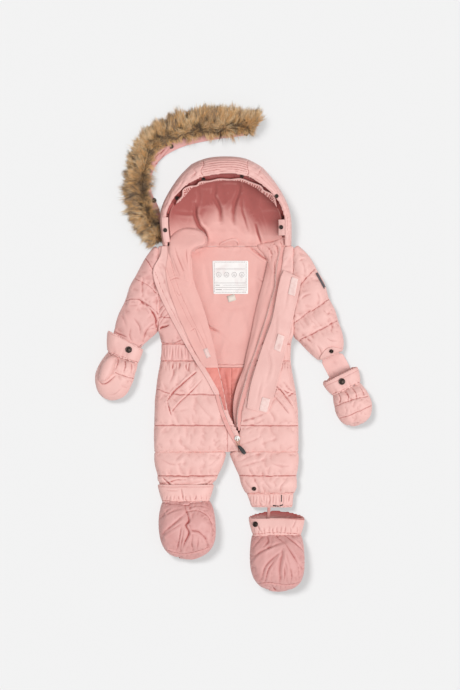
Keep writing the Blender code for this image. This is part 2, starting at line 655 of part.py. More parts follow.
LEG_LEFT = ((-139, -0.15, 0.5, -0.15, 30, 0), (-135, -23, -9.5, -23, 30, 0), (-131.5, -46, -17.5, -46, 28, 0),
            (-129.2, -60, -26.5, -60, 23, 3.3), (-126, -70, -31, -70, 20, 3.4), (-121, -84, -37, -84, 17, 3.4))
LEG_RIGHT = ((140.4, -0.15, 7, -0.15, 30, 0), (137, -23, 19.5, -23, 30, 0), (135.8, -46, 27, -46, 29, 0),
             (133.8, -63, 34, -63, 28, 0), (132, -79.85, 40, -79.85, 24, 0))
HEM_RIGHT = ((132, -80.15, 40.2, -80.15, 24, 0), (130.8, -93, 45, -93, 26, 0), (129.7, -106, 49.5, -106, 22, 0))
BOOTIE_LEFT = ((-123.5, -96.5, -32, -94.5, 30), (-126.5, -106, -27, -104, 38), (-129, -122, -23.5, -121, 45),
               (-130, -141, -21.5, -140, 49), (-128.5, -160, -21, -160, 49), (-124.5, -178, -24, -178, 45),
               (-115.5, -193.5, -33.5, -193.5, 36), (-100, -204, -50, -204, 22))
BOOTIE_LEFT_TIP = (-72, -210.5)
ANKLE_LEFT = ((-133.6, -62.5, -22.6, -62.5, 32), (-130, -79, -27, -79, 34), (-124.5, -96, -32, -94, 31))
BOOTIE_RIGHT = ((51, -161.5, 146, -160.5, 30), (49.5, -170, 148, -169, 38), (48.5, -186, 150, -185, 45),
                (47.6, -206, 151.3, -205, 49), (48.6, -225, 151.4, -225, 49), (53.5, -243, 149, -243, 45),
                (63, -257.5, 141.5, -257.5, 36), (79, -267, 126, -267, 22))
BOOTIE_RIGHT_TIP = (102, -273)
ANKLE_RIGHT = ((43.5, -128.5, 153.5, -129.5, 30), (46.5, -144, 151.5, -144.5, 33), (51.5, -161, 146, -160, 31))


def build_legs(cloth):
    nylon = cloth["nylon"]
    build_tube("leg_left", LEG_LEFT, (0, 2, 3, 5), 3, PADDED, nylon, flats=4, calm_from=2.5)
    build_tube("leg_right", LEG_RIGHT, (0, 2, 4), 4, PADDED, nylon, flats=4)
    build_tube("hem_right", HEM_RIGHT, (0, 2), 2, 4.0, nylon, puff=0.0, flats=13, ripple=GATHER)
    puffs = (0.0, 0.5, 1.0, 1.0, 1.0, 0.9, 0.6, 0.2)
    build_pocket("bootie_left", BOOTIE_LEFT, BOOTIE_LEFT_TIP, PADDED_SMALL, nylon, puffs, flats=5)
    build_pocket("bootie_right", BOOTIE_RIGHT, BOOTIE_RIGHT_TIP, PADDED_SMALL, nylon, puffs, flats=5)
    build_cuff("bootie_left_cuff", ANKLE_LEFT, nylon, 9, (0.0, 0.0, 0.8))
    build_cuff("bootie_right_cuff", ANKLE_RIGHT, nylon, 9, (0.0, 0.0, 0.8), slant=(-15, -7, 0))
    # The strap comes out of the leg's hem and lies in the bootie's mouth
    route = ((84, -96, 4.6), (84, -106, 4.6), (83.5, -113, 3.4), (83, -122, 3.2), (82, -136, 3.2))
    top = [[(x - 3, y, z + 1.6), (x + 3, y, z + 1.6)] for x, y, z in route]
    bottom = [[(x - 3, y, z), (x + 3, y, z)] for x, y, z in route]
    wall("bootie_strap", top, bottom, cloth["tape"])


# ---------------------------------------------------------------- hood

# outline x, y, rim x, y, height, from the left end of the neck round the crown to the right end
HOOD = ((-122, 401.4, -113, 401.4, 33), (-125.5, 426, -116.5, 427, 38), (-128.5, 450, -118, 452, 45),
        (-125, 476, -114.5, 474, 51), (-113, 501, -102, 495, 57), (-98, 525, -86, 513, 61),
        (-79, 548, -65, 527, 64), (-52, 568, -42, 536, 66), (-18, 574, -12, 541, 67), (20, 574, 18, 541.5, 67),
        (46, 568, 40, 537, 66), (75, 549, 62, 526, 64), (95, 524, 84, 509, 61), (111, 499, 99, 494, 57),
        (122, 475, 110.5, 473, 51), (126.3, 450, 115.5, 450, 45), (126.3, 427, 115.5, 427, 38),
        (126, 401.4, 115, 401.4, 33))
HOOD_CENTRE = np.array((0.0, 470.0))
HOOD_NECK_HALF = 104.0
HOOD_WALL = 5.0
HOOD_PANELS = (("left", 0.0, 6.5), ("centre", 6.5, 10.8), ("right", 10.8, 17.0))
FRILL_ENDS = (2.2, 14.8)
FRILL_WIDTH = 14.0


def hood_frame(place):
    """Outline, rim, inward direction, height and neck point at a place along the hood."""
    ox, oy, rx, ry, height = row_at(HOOD, place)
    outline, rim = np.array((ox, oy)), np.array((rx, ry))
    inward = HOOD_CENTRE - outline
    inward /= np.hypot(*inward)
    share = place / (len(HOOD) - 1)
    neck = np.array((HOOD_NECK_HALF * (2 * share - 1), NECK_Y + 0.4))
    return outline, rim, inward, height, neck


def at(plan, z):
    return (plan[0], plan[1], z)


def build_hood_shell(name, start, end, material):
    outer, inner = [], []
    trim = 0.014           # half the seam between two panels, in places
    columns = max(4, int(round((end - start) * 1.2)) + 1)
    for place in np.linspace(start + trim * (start > 0), end - trim * (end < 17), columns):
        outline, _, inward, height, neck = hood_frame(place)
        fold = outline + inward * 14
        deep = outline + inward * 19
        outer.append([at(outline, 0.5 * height - GAP / 2), at(outline + inward * 0.3, 0.26 * height),
                      at(outline + inward * 4, 0.08 * height), at(fold, 0), at((fold + neck) / 2, 0), at(neck, 0)])
        inner.append([at(outline + inward * HOOD_WALL, 0.5 * height - GAP / 2),
                      at(outline + inward * (HOOD_WALL + 0.8), 0.27 * height),
                      at(outline + inward * (HOOD_WALL + 4.5), 0.08 * height + 3.2), at(deep, PADDED),
                      at((deep + neck) / 2, PADDED), at(neck, PADDED)])
    wall(name, outer, inner, material)


def build_brim(material):
    outer, inner = [], []
    for place in np.linspace(0, 17, 22):
        outline, rim, inward, height, _ = hood_frame(place)
        band = rim - outline
        wide = float(np.hypot(*band))
        skin = min(HOOD_WALL, 0.55 * wide)
        half = 0.5 * height + GAP / 2
        outer.append([at(outline, half), at(outline + band * 0.10, 0.80 * height), at(outline + band * 0.4, 0.96 * height),
                      at(outline + band * 0.75, height), at(rim, 0.985 * height)])
        inner.append([at(outline + band * skin / wide, half), at(outline + band * (skin / wide + 0.06), 0.80 * height - 4),
                      at(outline + band * 0.62, 0.96 * height - 5), at(outline + band * 0.82, height - 5),
                      at(rim - band * 0.04, 0.985 * height - 4)])
    wall("hood_brim", outer, inner, material)


def frill_edge(place):
    """How far the gathered inner edge stands in from the rim."""
    start, end = FRILL_ENDS
    share = (place - start) / (end - start)
    return FRILL_WIDTH * max(math.sin(math.pi * share), 0.0) ** 0.35


def build_frill(material):
    top, bottom = [], []
    columns = 39
    for number, place in enumerate(np.linspace(FRILL_ENDS[0] + 0.15, FRILL_ENDS[1] - 0.15, columns)):
        _, rim, inward, height, _ = hood_frame(place)
        wave = 1.0 if number % 2 else -1.0
        level = 0.985 * height - 7.5
        edge = rim + inward * (frill_edge(place) + wave)
        hang = rim + inward * (frill_edge(place) - 3.0 + wave)
        top.append([at(rim - inward * 1.5, level), at(rim + inward * frill_edge(place) * 0.5, level - 0.5 + wave * 0.4),
                    at(edge, level - 1.5 + wave * 0.5), at(hang, level - 10)])
        bottom.append([at(rim - inward * 1.5, level - 1.6), at(rim + inward * frill_edge(place) * 0.5, level - 2.2 + wave * 0.4),
                       at(edge - inward * 1.7, level - 3.3 + wave * 0.5), at(hang - inward * 1.7, level - 10)])
    wall("hood_frill", top, bottom, material)


def build_hood_lining(material):
    inside, outside = [], []
    for number, place in enumerate(np.linspace(0.25, 16.75, 23)):
        outline, rim, inward, height, neck = hood_frame(place)
        wave = 0.8 if number % 2 else -0.8
        rim_in = float(np.dot(rim - outline, inward))
        start = max(rim_in, HOOD_WALL + 5.0)
        level = PADDED + GAP
        deep = outline + inward * 22
        column = [(outline + inward * start, 0.985 * height - 19.5 if height > 45.5 else 0.7 * height),
                  (outline + inward * (HOOD_WALL + 5.2), 0.5 * height), (outline + inward * (HOOD_WALL + 6), 0.3 * height)]
        inside_row = [at(p + inward * (FLEECE * 0.6 + wave * 0.4), z) for p, z in column]
        outside_row = [at(p - inward * FLEECE * 0.4, z) for p, z in column]
        for share in (0.0, 0.34, 0.68, 1.0):
            plan = deep + (neck - deep) * share
            roll = 15.0 * math.exp(-((plan[0] + 68) / 26) ** 2 - ((plan[1] - 414) / 17) ** 2)
            inside_row.append(at(plan, level + FLEECE + (1 + wave) * 0.8 + roll))
            outside_row.append(at(plan, level))
        inside.append(inside_row)
        outside.append(outside_row)
    wall("hood_lining", inside, outside, material)


def build_hood_tab(name, places, columns, material):
    """A snap tab along the rim, from columns of how far inside the rim, share of the height and rise over it."""
    top, bottom = [], []
    for place in places:
        _, rim, _, height, _ = hood_frame(place)
        sideways = np.array((math.copysign(1.0, -rim[0]), 0.0))
        bottom.append([at(rim + sideways * inside, share * height + rise) for inside, share, rise in columns])
        top.append([(x, y, z + NYLON + 0.6) for x, y, z in bottom[-1]])
    wall(name, top, bottom, material)


def build_hood(cloth):
    for word, start, end in HOOD_PANELS:
        build_hood_shell("hood_" + word, start, end, cloth["nylon"])
    build_brim(cloth["nylon"])
    build_frill(cloth["nylon"])
    build_hood_lining(cloth["fleece"])
    on_brim = ((-6.8, 0.955, 0.9), (-1.4, 1.0, 0.9), (5.5, 1.0, -2.0))
    inside_rim = ((0.5, 0.985, -3.2), (7.0, 0.985, -3.7), (13.5, 0.985, -6.7))
    build_hood_tab("hood_tab_left", np.linspace(0.35, 2.2, 5), on_brim, cloth["nylon"])
    build_hood_tab("hood_tab_right", np.linspace(16.2, 14.9, 4), inside_rim, cloth["nylon"])
    route = ((-13, 405), (-3, 409.5), (9, 414), (19, 414.5), (24, 409), (23, 404))
    plan = np.array([[(x, y - 2.4), (x + 0.8, y + 2.4)] for x, y in route])
    lift = np.array((0, 3.0, 5.0, 5.0, 2.5, 0))[:, None]
    lie_on("hanger_loop", plan, 1.2, cloth["nylon"], ["hood_lining"], rise=lift)


# ---------------------------------------------------------------- fur trim

# inner x, y, outer x, y, height of the fur, how far the strip shows inside it
FUR = ((55, 634, 59, 649, 20, 0), (42, 620, 48, 660, 32, 3), (20, 616, 13, 669, 37, 0.5),
       (-14, 611, -20, 673, 39, 0.5), (-46, 609, -56, 672, 39, 4), (-82, 602, -98, 660, 39, 5),
       (-113, 591, -140, 636, 39, 8), (-133, 572, -169, 604, 39, 4), (-145, 547, -186, 569, 39, 2),
       (-150.5, 522, -193, 534, 39, 2), (-149, 500, -194, 502, 39, 6), (-144.5, 481, -185, 469, 38, 11),
       (-136.5, 463, -175, 446, 36, 9), (-129.2, 445, -165, 431, 34, 1.5), (-126.4, 427, -150, 418, 28, 0.5),
       (-124.0, 413, -136, 408, 18, 0.5))
FUR_STRIP_WIDTH = 27.0
FUR_STRIP_THICK = 2.2


def build_fur(cloth):
    top, rings = [], []
    for place in np.linspace(0, len(FUR) - 1, 22):
        ix, iy, ox, oy, height, _ = row_at(FUR, place)
        outer, _ = section((ix, iy), (ox, oy), height - FUR_STRIP_THICK - GAP, FUR_STRIP_THICK + GAP, 4.0, flats=2)
        rings.append(outer)
    filled("fur", rings, cloth["fur"])
    for place in np.linspace(0.4, len(FUR) - 1.3, 22):
        ix, iy, ox, oy, _, show = row_at(FUR, place)
        across = np.array((ox - ix, oy - iy))
        across /= np.hypot(*across)
        edge = np.array((ix, iy)) - across * max(show, 0.3)
        far = np.array((ix, iy)) + across * min(FUR_STRIP_WIDTH - show, 0.7 * math.hypot(ox - ix, oy - iy))
        top.append([at(edge, FUR_STRIP_THICK), at((edge + far) / 2, FUR_STRIP_THICK), at(far, FUR_STRIP_THICK)])
    bottom = [[(x, y, 0.0) for x, y, _ in row] for row in top]
    wall("fur_strip", top, bottom, cloth["nylon"])


# ---------------------------------------------------------------- zip slider and pull, snaps

SLIDER_AT = (22.0, 27.0)
SLIDER_RADIUS = 5.5
SLIDER_HEIGHT = 3.0
BRIDGE = (2.6, 7.0, 4.4)      # width, length and height of the slider's bridge
CORD_RADIUS = 0.7
PULL_TURN = math.radians(-80)  # where the cord points from the slider
TAB_TURN = math.radians(-52)
CORD_LENGTH = 12.5
TAB_SIZE = (21.0, 7.6, 2.6)


def curve_tube(name, points, radius, material, origin):
    curve = bpy.data.curves.new(name, "CURVE")
    curve.dimensions = "3D"
    curve.bevel_depth = radius * MM
    curve.bevel_resolution = 2
    curve.use_fill_caps = True
    spline = curve.splines.new("POLY")
    spline.points.add(len(points) - 1)
    for spot, point in zip(spline.points, points):
        spot.co = (*(point * MM), 1.0)
    curve.materials.append(material)
    obj = bpy.data.objects.new(name, curve)
    obj.location = origin * MM
    GARMENT.objects.link(obj)
    return obj


def build_zip_hardware(cloth):
    x, y = SLIDER_AT
    base = max(top_under(x + dx, y + dy, 1.0) for dx in (-5, 0, 5) for dy in (-5, 0, 5)) + DRAPE_GAP
    forward = Vector((math.cos(PULL_TURN), math.sin(PULL_TURN), 0.0))
    side = Vector((-forward.y, forward.x, 0.0))
    width, length, height = BRIDGE
    disc = bmesh.new()
    bmesh.ops.create_cone(disc, cap_ends=True, segments=20, radius1=SLIDER_RADIUS, radius2=SLIDER_RADIUS * 0.93,
                          depth=SLIDER_HEIGHT)
    bmesh.ops.transform(disc, matrix=Matrix.Scale(MM, 4), verts=disc.verts)
    mesh = bpy.data.meshes.new("zip_slider")
    disc.to_mesh(mesh)
    disc.free()
    mesh.materials.append(cloth["enamel"])
    slider = bpy.data.objects.new("zip_slider", mesh)
    slider.location = Vector((x, y, base + SLIDER_HEIGHT / 2)) * MM
    GARMENT.objects.link(slider)
    # The bridge is a low arch standing on the disc, made as an outline with a hole and united with it
    profile = bpy.data.curves.new("zip_bridge", "CURVE")
    profile.dimensions = "2D"
    profile.fill_mode = "BOTH"
    profile.extrude = width / 2 * MM
    half, thick, foot = length / 2, 1.1, 0.8
    for outline in (((-half, -foot), (half, -foot), (half, height - 1.4), (half - 1.4, height), (1.4 - half, height),
                     (-half, height - 1.4)),
                    ((-half + thick, 0.25), (half - thick, 0.25), (half - thick, height - 1.8),
                     (half - 1.8, height - thick), (1.8 - half, height - thick), (-half + thick, height - 1.8))):
        spline = profile.splines.new("POLY")
        spline.points.add(len(outline) - 1)
        spline.use_cyclic_u = True
        for spot, (u, v) in zip(spline.points, outline):
            spot.co = (u * MM, v * MM, 0.0, 1.0)
    arch = bpy.data.objects.new("zip_bridge", profile)
    GUIDES.objects.link(arch)
    bpy.context.view_layer.update()
    arch_mesh = bpy.data.meshes.new_from_object(arch.evaluated_get(bpy.context.evaluated_depsgraph_get()))
    bpy.data.objects.remove(arch)
    welded = bmesh.new()
    welded.from_mesh(arch_mesh)
    bmesh.ops.remove_doubles(welded, verts=welded.verts, dist=0.00001)
    bmesh.ops.recalc_face_normals(welded, faces=welded.faces)
    stand = Matrix((forward, (0, 0, 1), side)).transposed().to_4x4()
    stand.translation = Vector((0, 0, SLIDER_HEIGHT / 2)) * MM
    bmesh.ops.transform(welded, matrix=stand, verts=welded.verts)
    bmesh.ops.recalc_face_normals(welded, faces=welded.faces)
    welded.to_mesh(arch_mesh)
    welded.free()
    cutter = bpy.data.objects.new("zip_bridge_guide", arch_mesh)
    cutter.hide_render = True
    cutter.display_type = "WIRE"
    cutter.parent = slider
    GUIDES.objects.link(cutter)
    union = slider.modifiers.new("bridge", "BOOLEAN")
    union.operation = "UNION"
    union.object = cutter
    # The cord's bend turns in the bridge; its ends meet the tab
    pivot = Vector((x, y, base + SLIDER_HEIGHT + 0.25 + GAP + CORD_RADIUS)) + forward * 1.0
    half_wide = width / 2 + 0.6 + CORD_RADIUS
    bend = [Vector((0, 0, 0)) + side * half_wide * s for s in (-1, 0, 1)]
    neck = forward * CORD_LENGTH
    loop = [neck - side * 1.6, forward * (CORD_LENGTH * 0.45) - side * 2.3, forward * 1.8 - side * half_wide,
            forward * 0.4 - side * (half_wide - 0.4), bend[1] - side * (half_wide - 1.3),
            bend[1] + side * (half_wide - 1.3), forward * 0.4 + side * (half_wide - 0.4),
            forward * 1.8 + side * half_wide, forward * (CORD_LENGTH * 0.45) + side * 2.3, neck + side * 1.6]
    curve_tube("pull_cord", loop, CORD_RADIUS, cloth["cord"], pivot)
    long, wide, deep = TAB_SIZE
    head = forward * (CORD_LENGTH + GAP)
    lean = Vector((math.cos(TAB_TURN), math.sin(TAB_TURN), 0.0))
    lean_side = Vector((-lean.y, lean.x, 0.0))
    rings = []
    for reach, share, level in ((0.0, 0.62, 0.7), (0.12, 0.8, 0.95), (0.5, 1.0, 1.0), (0.85, 1.0, 1.0), (1.0, 0.6, 0.6)):
        blend_side = side.lerp(lean_side, min(reach * 3, 1.0)).normalized()
        centre = head + lean * (long * reach)
        w, d = wide / 2 * share, deep / 2 * level
        ring = []
        for u, v in ((-1, -0.6), (-0.7, -1), (0.7, -1), (1, -0.6), (1, 0.6), (0.7, 1), (-0.7, 1), (-1, 0.6)):
            ring.append(centre + blend_side * (u * w) + Vector((0, 0, v * d)))
        rings.append([tuple(p + pivot) for p in ring])
    tab = filled("pull_tab", rings, cloth["rubber"])
    tab.data.transform(Matrix.Translation(-pivot * MM))
    tab.location = pivot * MM


SNAPS = (("mitten_left_snap", (-189.2, 199.5), ["mitten_left_cuff"]),
         ("mitten_right_snap", (225.5, 137.5), ["mitten_right_cuff"]),
         ("sleeve_right_socket", (205.0, 197.0), ["sleeve_tab_right"]),
         ("leg_right_socket", (54.6, -70.5), ["leg_right"]),
         ("bootie_right_snap", (57.5, -140.0), ["bootie_right_cuff"]))


def build_snaps(cloth):
    for name, (x, y), below in SNAPS:
        radius = SNAP_RADIUS if "mitten" in name else 5.2
        cap(name, x, y, cloth["snap"], radius=radius, only=below)


# ---------------------------------------------------------------- assembly

def clear_scene():
    for obj in list(bpy.data.objects):
        bpy.data.objects.remove(obj, do_unlink=True)


def make_collection(name):
    collection = bpy.data.collections.new(name)
    bpy.context.scene.collection.children.link(collection)
    return collection


def centre_over_box():
    """Parent every piece to an empty that brings the middle of the box over the origin."""
    bpy.context.view_layer.update()
    solids = [obj for obj in GARMENT.objects if obj.type == "MESH"]
    corners = [obj.matrix_world @ vertex.co for obj in solids for vertex in obj.data.vertices]
    low = [min(c[k] for c in corners) for k in range(2)]
    high = [max(c[k] for c in corners) for k in range(2)]
    carrier = bpy.data.objects.new("baby_snowsuit", None)
    carrier.location = (-(low[0] + high[0]) / 2, -(low[1] + high[1]) / 2, 0.0)
    bpy.context.scene.collection.objects.link(carrier)
    for obj in list(GARMENT.objects):
        obj.parent = carrier
    for obj in GUIDES.objects:
        if obj.parent is None:
            obj.parent = carrier


clear_scene()
GARMENT = make_collection("baby_snowsuit")
GUIDES = make_collection("guides")
LAYERS = {}
CLOTH = {
    "nylon": make_material("padded_nylon", PADDED_COLOUR, 0.5),
    "fleece": make_material("fleece", FLEECE_COLOUR, 0.95),
    "lining": make_material("lining_nylon", LINING_COLOUR, 0.5),
    "tape": make_material("zip_tape", (0.83, 0.42, 0.40), 0.7),
    "hook_loop": make_material("hook_and_loop", (0.92, 0.62, 0.58), 0.9),
    "label": make_material("label_satin", (0.90, 0.88, 0.85), 0.6),
    "fur": make_material("fur", (0.38, 0.25, 0.14), 0.9),
    "snap": make_material("snap_metal", (0.045, 0.032, 0.028), 0.35, 0.8),
    "enamel": make_material("slider_enamel", (0.86, 0.83, 0.80), 0.3),
    "cord": make_material("pull_cord", (0.42, 0.28, 0.17), 0.8),
    "rubber": make_material("pull_rubber", (0.015, 0.013, 0.013), 0.5),
}
build_body(CLOTH)
build_arms(CLOTH)
build_legs(CLOTH)
build_linings_beside_opening(CLOTH)
build_hood(CLOTH)
build_flap_and_trims(CLOTH)
build_mittens(CLOTH)
build_fur(CLOTH)
build_zip_hardware(CLOTH)
build_snaps(CLOTH)
centre_over_box()
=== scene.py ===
"""Looks of a baby snowsuit that lies open on its back.

Lines on the cloth are given in the picture frame of 460 x 690 points, PITCH mm each, seen from straight above.
"""

import json
import math

import bmesh
import bpy
import numpy as np
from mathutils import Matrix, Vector
from mathutils.bvhtree import BVHTree


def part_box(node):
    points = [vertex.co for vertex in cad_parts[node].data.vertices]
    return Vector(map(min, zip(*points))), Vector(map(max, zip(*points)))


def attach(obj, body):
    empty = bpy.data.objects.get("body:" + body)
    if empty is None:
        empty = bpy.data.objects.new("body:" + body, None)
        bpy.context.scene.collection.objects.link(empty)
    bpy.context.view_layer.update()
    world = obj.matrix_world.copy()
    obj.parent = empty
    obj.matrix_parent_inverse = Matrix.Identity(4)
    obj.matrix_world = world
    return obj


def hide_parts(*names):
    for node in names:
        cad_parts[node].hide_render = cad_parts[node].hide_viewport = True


MM = 0.001
PITCH = 1.95
FRAME = (460, 690)
ZERO_POINT = (226.0, 452.0)        # the picture point of the garment's crotch
EVERYWHERE = 1000.0                # a reach in mm that takes in the whole garment

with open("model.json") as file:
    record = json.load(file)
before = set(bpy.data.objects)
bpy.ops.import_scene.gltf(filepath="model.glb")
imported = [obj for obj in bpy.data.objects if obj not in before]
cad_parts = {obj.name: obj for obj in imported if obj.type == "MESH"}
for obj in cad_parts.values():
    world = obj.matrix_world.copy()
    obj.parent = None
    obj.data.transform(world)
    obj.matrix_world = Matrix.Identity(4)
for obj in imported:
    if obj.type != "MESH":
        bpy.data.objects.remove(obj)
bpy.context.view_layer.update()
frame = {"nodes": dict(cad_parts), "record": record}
LABEL_CORNER = (43.3, 373.0)       # the care label's upper right corner, in garment sizes
OFFSET = np.array([LABEL_CORNER[k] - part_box("care_label")[1][k] / MM for k in range(2)])


def plan(points):
    """Picture points to millimetres in the row frame."""
    x, y = np.asarray(points, float).T
    return np.stack([(x - ZERO_POINT[0]) * PITCH, (ZERO_POINT[1] - y) * PITCH], axis=-1) - OFFSET


def to_point(xy):
    """Millimetres in the row frame to picture points."""
    shifted = np.asarray(xy) + OFFSET
    return np.stack([shifted[..., 0] / PITCH + ZERO_POINT[0], ZERO_POINT[1] - shifted[..., 1] / PITCH], axis=-1)


# ---------------------------------------------------------------- shapes of a curve, and noise

def fade(values, low, high):
    """A smooth step from 0 at low to 1 at high."""
    t = np.clip((values - low) / (high - low), 0, 1)
    return t * t * (3 - 2 * t)


def bell(values, width):
    return np.exp(-(values / width) ** 2)


def lattice(ix, iy, seed):
    mixed = (ix * 374761393 + iy * 668265263 + seed * 362437) & 0xffffffff
    mixed = ((mixed ^ (mixed >> 13)) * 1274126177) & 0xffffffff
    return ((mixed ^ (mixed >> 16)) & 0xffff) / 32767.5 - 1.0


def noise(x, y, size, seed):
    """Smooth noise from -1 to 1 with cells of the given size."""
    u, v = np.asarray(x) / size, np.asarray(y) / size
    ix, iy = np.floor(u).astype(np.int64), np.floor(v).astype(np.int64)
    fu, fv = u - ix, v - iy
    fu, fv = fu * fu * (3 - 2 * fu), fv * fv * (3 - 2 * fv)
    low = lattice(ix, iy, seed) * (1 - fu) + lattice(ix + 1, iy, seed) * fu
    high = lattice(ix, iy + 1, seed) * (1 - fu) + lattice(ix + 1, iy + 1, seed) * fu
    return low * (1 - fv) + high * fv


def crumple(x, y, size, seed, stretch=1.0, turn=0.0):
    """Soft creases between rounder swellings, stretched along a direction."""
    c, s = math.cos(turn), math.sin(turn)
    u, v = (x * c + y * s) / stretch, -x * s + y * c
    u = u + noise(x, y, size * 1.7, seed + 7) * size * 0.45
    v = v + noise(x, y, size * 1.7, seed + 8) * size * 0.45
    ridge = 1 - 2 * np.abs(noise(u, v, size, seed))
    fine = 1 - 2 * np.abs(noise(u, v, size * 0.48, seed + 3))
    return 0.7 * ridge + 0.3 * fine


# ---------------------------------------------------------------- lines on the cloth

def spots(text):
    """Picture points of a text, each x,y."""
    return tuple(tuple(map(float, cell.split(","))) for cell in text.split())


def rows(head, text):
    """Rows of a text table, each with some numbers at its head and then picture points."""
    cells = (row.split(None, head) for row in text.strip().splitlines())
    return tuple((*map(float, row[:head]), spots(row[head])) for row in cells)


def smooth_line(points, steps=5):
    """Catmull-Rom through picture points, in millimetres of the row frame."""
    pts = plan(points)
    if len(pts) == 2:
        return np.array([pts[0] + (pts[1] - pts[0]) * k / steps for k in range(steps + 1)])
    ends = np.vstack([2 * pts[0] - pts[1], pts, 2 * pts[-1] - pts[-2]])
    line = []
    for a, b, c, d in zip(ends[:-3], ends[1:-2], ends[2:-1], ends[3:]):
        for k in range(steps):
            t = k / steps
            line.append(0.5 * (2 * b + (c - a) * t + (2 * a - 5 * b + 4 * c - d) * t * t
                               + (3 * b - a - 3 * c + d) * t ** 3))
    return np.array(line + [pts[-1]])


def run_of(line):
    """Length along a line at each of its points."""
    return np.concatenate([[0], np.cumsum(np.hypot(*np.diff(line, axis=0).T))])


def at_run(line, run, s):
    """The point of a line at a length along it."""
    return np.array([np.interp(s, run, line[:, k]) for k in range(2)])


def along_line(xy, line, reach):
    """For points near a line: their numbers, distance, side (+1 left of it) and length along it, and its length."""
    low, high = line.min(axis=0) - reach, line.max(axis=0) + reach
    near = np.flatnonzero(np.all((xy >= low) & (xy <= high), axis=1))
    if not len(near):
        return near, None, None, None, None
    starts, steps = line[:-1], np.diff(line, axis=0)
    lengths = np.hypot(steps[:, 0], steps[:, 1])
    before = np.concatenate([[0], np.cumsum(lengths)[:-1]])
    best = np.full(len(near), 1e9)
    side, run = np.zeros(len(near)), np.zeros(len(near))
    for start, step, length, done in zip(starts, steps, lengths, before):
        rel = xy[near] - start
        t = np.clip(rel @ step / length ** 2, 0, 1)
        gap = rel - t[:, None] * step
        dist = np.hypot(gap[:, 0], gap[:, 1])
        closer = dist < best
        best[closer] = dist[closer]
        side[closer] = np.sign(step[0] * gap[closer, 1] - step[1] * gap[closer, 0])
        run[closer] = done + t[closer] * length
    return near, best, side, run, lengths.sum()


def crease_relief(xy, creases):
    """Troughs with a soft lip: a negative depth is a ridge, and a positive lip lies on the left."""
    relief = np.zeros(len(xy))
    for depth, width, lip, points in creases:
        near, dist, side, run, total = along_line(xy, smooth_line(points), 4 * width)
        if not len(near):
            continue
        share = np.clip(run / total, 0, 1)
        strength = np.sin(math.pi * np.clip(share * 0.94 + 0.03, 0, 1)) ** 0.6
        signed = dist * side * (1 if lip >= 0 else -1)
        trough = -0.68 * depth * bell(dist, width)
        crest = 0.6 * abs(lip) * bell(signed - 1.7 * width, 1.2 * width)
        relief[near] += (trough + crest) * strength
    return relief


def gathers(low, high, top, bottom, step, depth, seed):
    """Uneven short creases between two heights, where elastic pulls the cloth in."""
    table, x, number = [], low, 0
    while x < high:
        a, b, c, d = (float(noise(number * 1.7 + 0.4, k * 3.3, 1.0, seed)) for k in range(4))
        start = top + (bottom - top) * max(0.0, 0.25 * a)
        end = bottom - (bottom - top) * max(0.0, 0.45 * b)
        line = ((x, start), (x + 1.2 * d, (start + end) / 2), (x + 1.8 * a, end))
        table.append((depth * (0.6 + 0.8 * abs(c)), 1.3 + 0.6 * abs(d), 0.7 * depth, line))
        x += step * (1 + 0.6 * d)
        number += 1
    return tuple(table)


def seam_relief(xy, seams):
    """Sewn lines with puckers on both sides."""
    relief = np.zeros(len(xy))
    for number, (depth, width, pucker, pitch, reach, points) in enumerate(seams):
        near, dist, side, run, _ = along_line(xy, smooth_line(points), max(3 * width, 2.5 * reach))
        if not len(near):
            continue
        relief[near] -= 0.62 * depth * bell(dist, 0.66 * width)
        if pucker:
            seed = 40 + 3 * number
            shift = run + side * dist * 0.25 * noise(run, 0 * run, pitch * 4, seed + 1)
            wave = noise(shift, side * 9 + dist / 3.5, pitch, seed)
            longer = 0.55 + 0.45 * noise(run, side * 5, pitch * 2.3, seed + 2)
            relief[near] += pucker * wave * np.exp(-(dist / (reach * (0.5 + longer))) ** 1.4)
    return relief


# ---------------------------------------------------------------- materials

def add_node(tree, kind, values=None, **options):
    """A shader node with its options and the values of its inputs set."""
    node = tree.nodes.new("ShaderNode" + kind)
    for name, value in options.items():
        setattr(node, name, value)
    for name, value in (values or {}).items():
        node.inputs[name].default_value = value
    return node


def colour_ramp(tree, stops, source):
    """The colour that a value picks from a ramp of (place, colour) stops."""
    ramp = add_node(tree, "ValToRGB")
    elements = ramp.color_ramp.elements
    for number in (0, -1):
        elements[number].position, elements[number].color = stops[number][0], (*stops[number][1], 1)
    for place, colour in stops[1:-1]:
        elements.new(place).color = (*colour, 1)
    tree.links.new(source, ramp.inputs["Fac"])
    return ramp.outputs["Color"]


SHEEN_ROUGHNESS = 0.45


def base_material(name, roughness, specular=0.5, metallic=0.0, sheen=0.0, tint=(1, 1, 1)):
    material = bpy.data.materials.new(name)
    material.use_nodes = True
    shader = material.node_tree.nodes["Principled BSDF"]
    for socket, value in (("Roughness", roughness), ("Specular IOR Level", specular), ("Metallic", metallic),
                          ("Sheen Weight", sheen), ("Sheen Roughness", SHEEN_ROUGHNESS),
                          ("Sheen Tint", (*tint, 1))):
        shader.inputs[socket].default_value = value
    return material, shader


def shades(colour, spread):
    """Three shades round a colour: darker and warmer, the colour, and lighter."""
    r, g, b = colour
    return [(0.30, (r * (1 - 0.6 * spread), g * (1 - 1.3 * spread), b * (1 - 1.3 * spread))), (0.5, colour),
            (0.72, (min(r * (1 + 0.5 * spread), 1), min(g * (1 + spread), 1), min(b * (1 + spread), 1)))]


# how much of a colour is left in the painted shade deep in a fold, and deep in a hollow
PAINTED_FOLD_SHADE = (0.50, 0.155, 0.15)
PAINTED_HOLLOW_SHADE = (0.50, 0.27, 0.27)
# painted highlight: a lighter colour where the cloth stands out
PAINTED_RIDGE_HIGHLIGHT = 0.30         # how much of the lighter shade shows where the cloth stands out


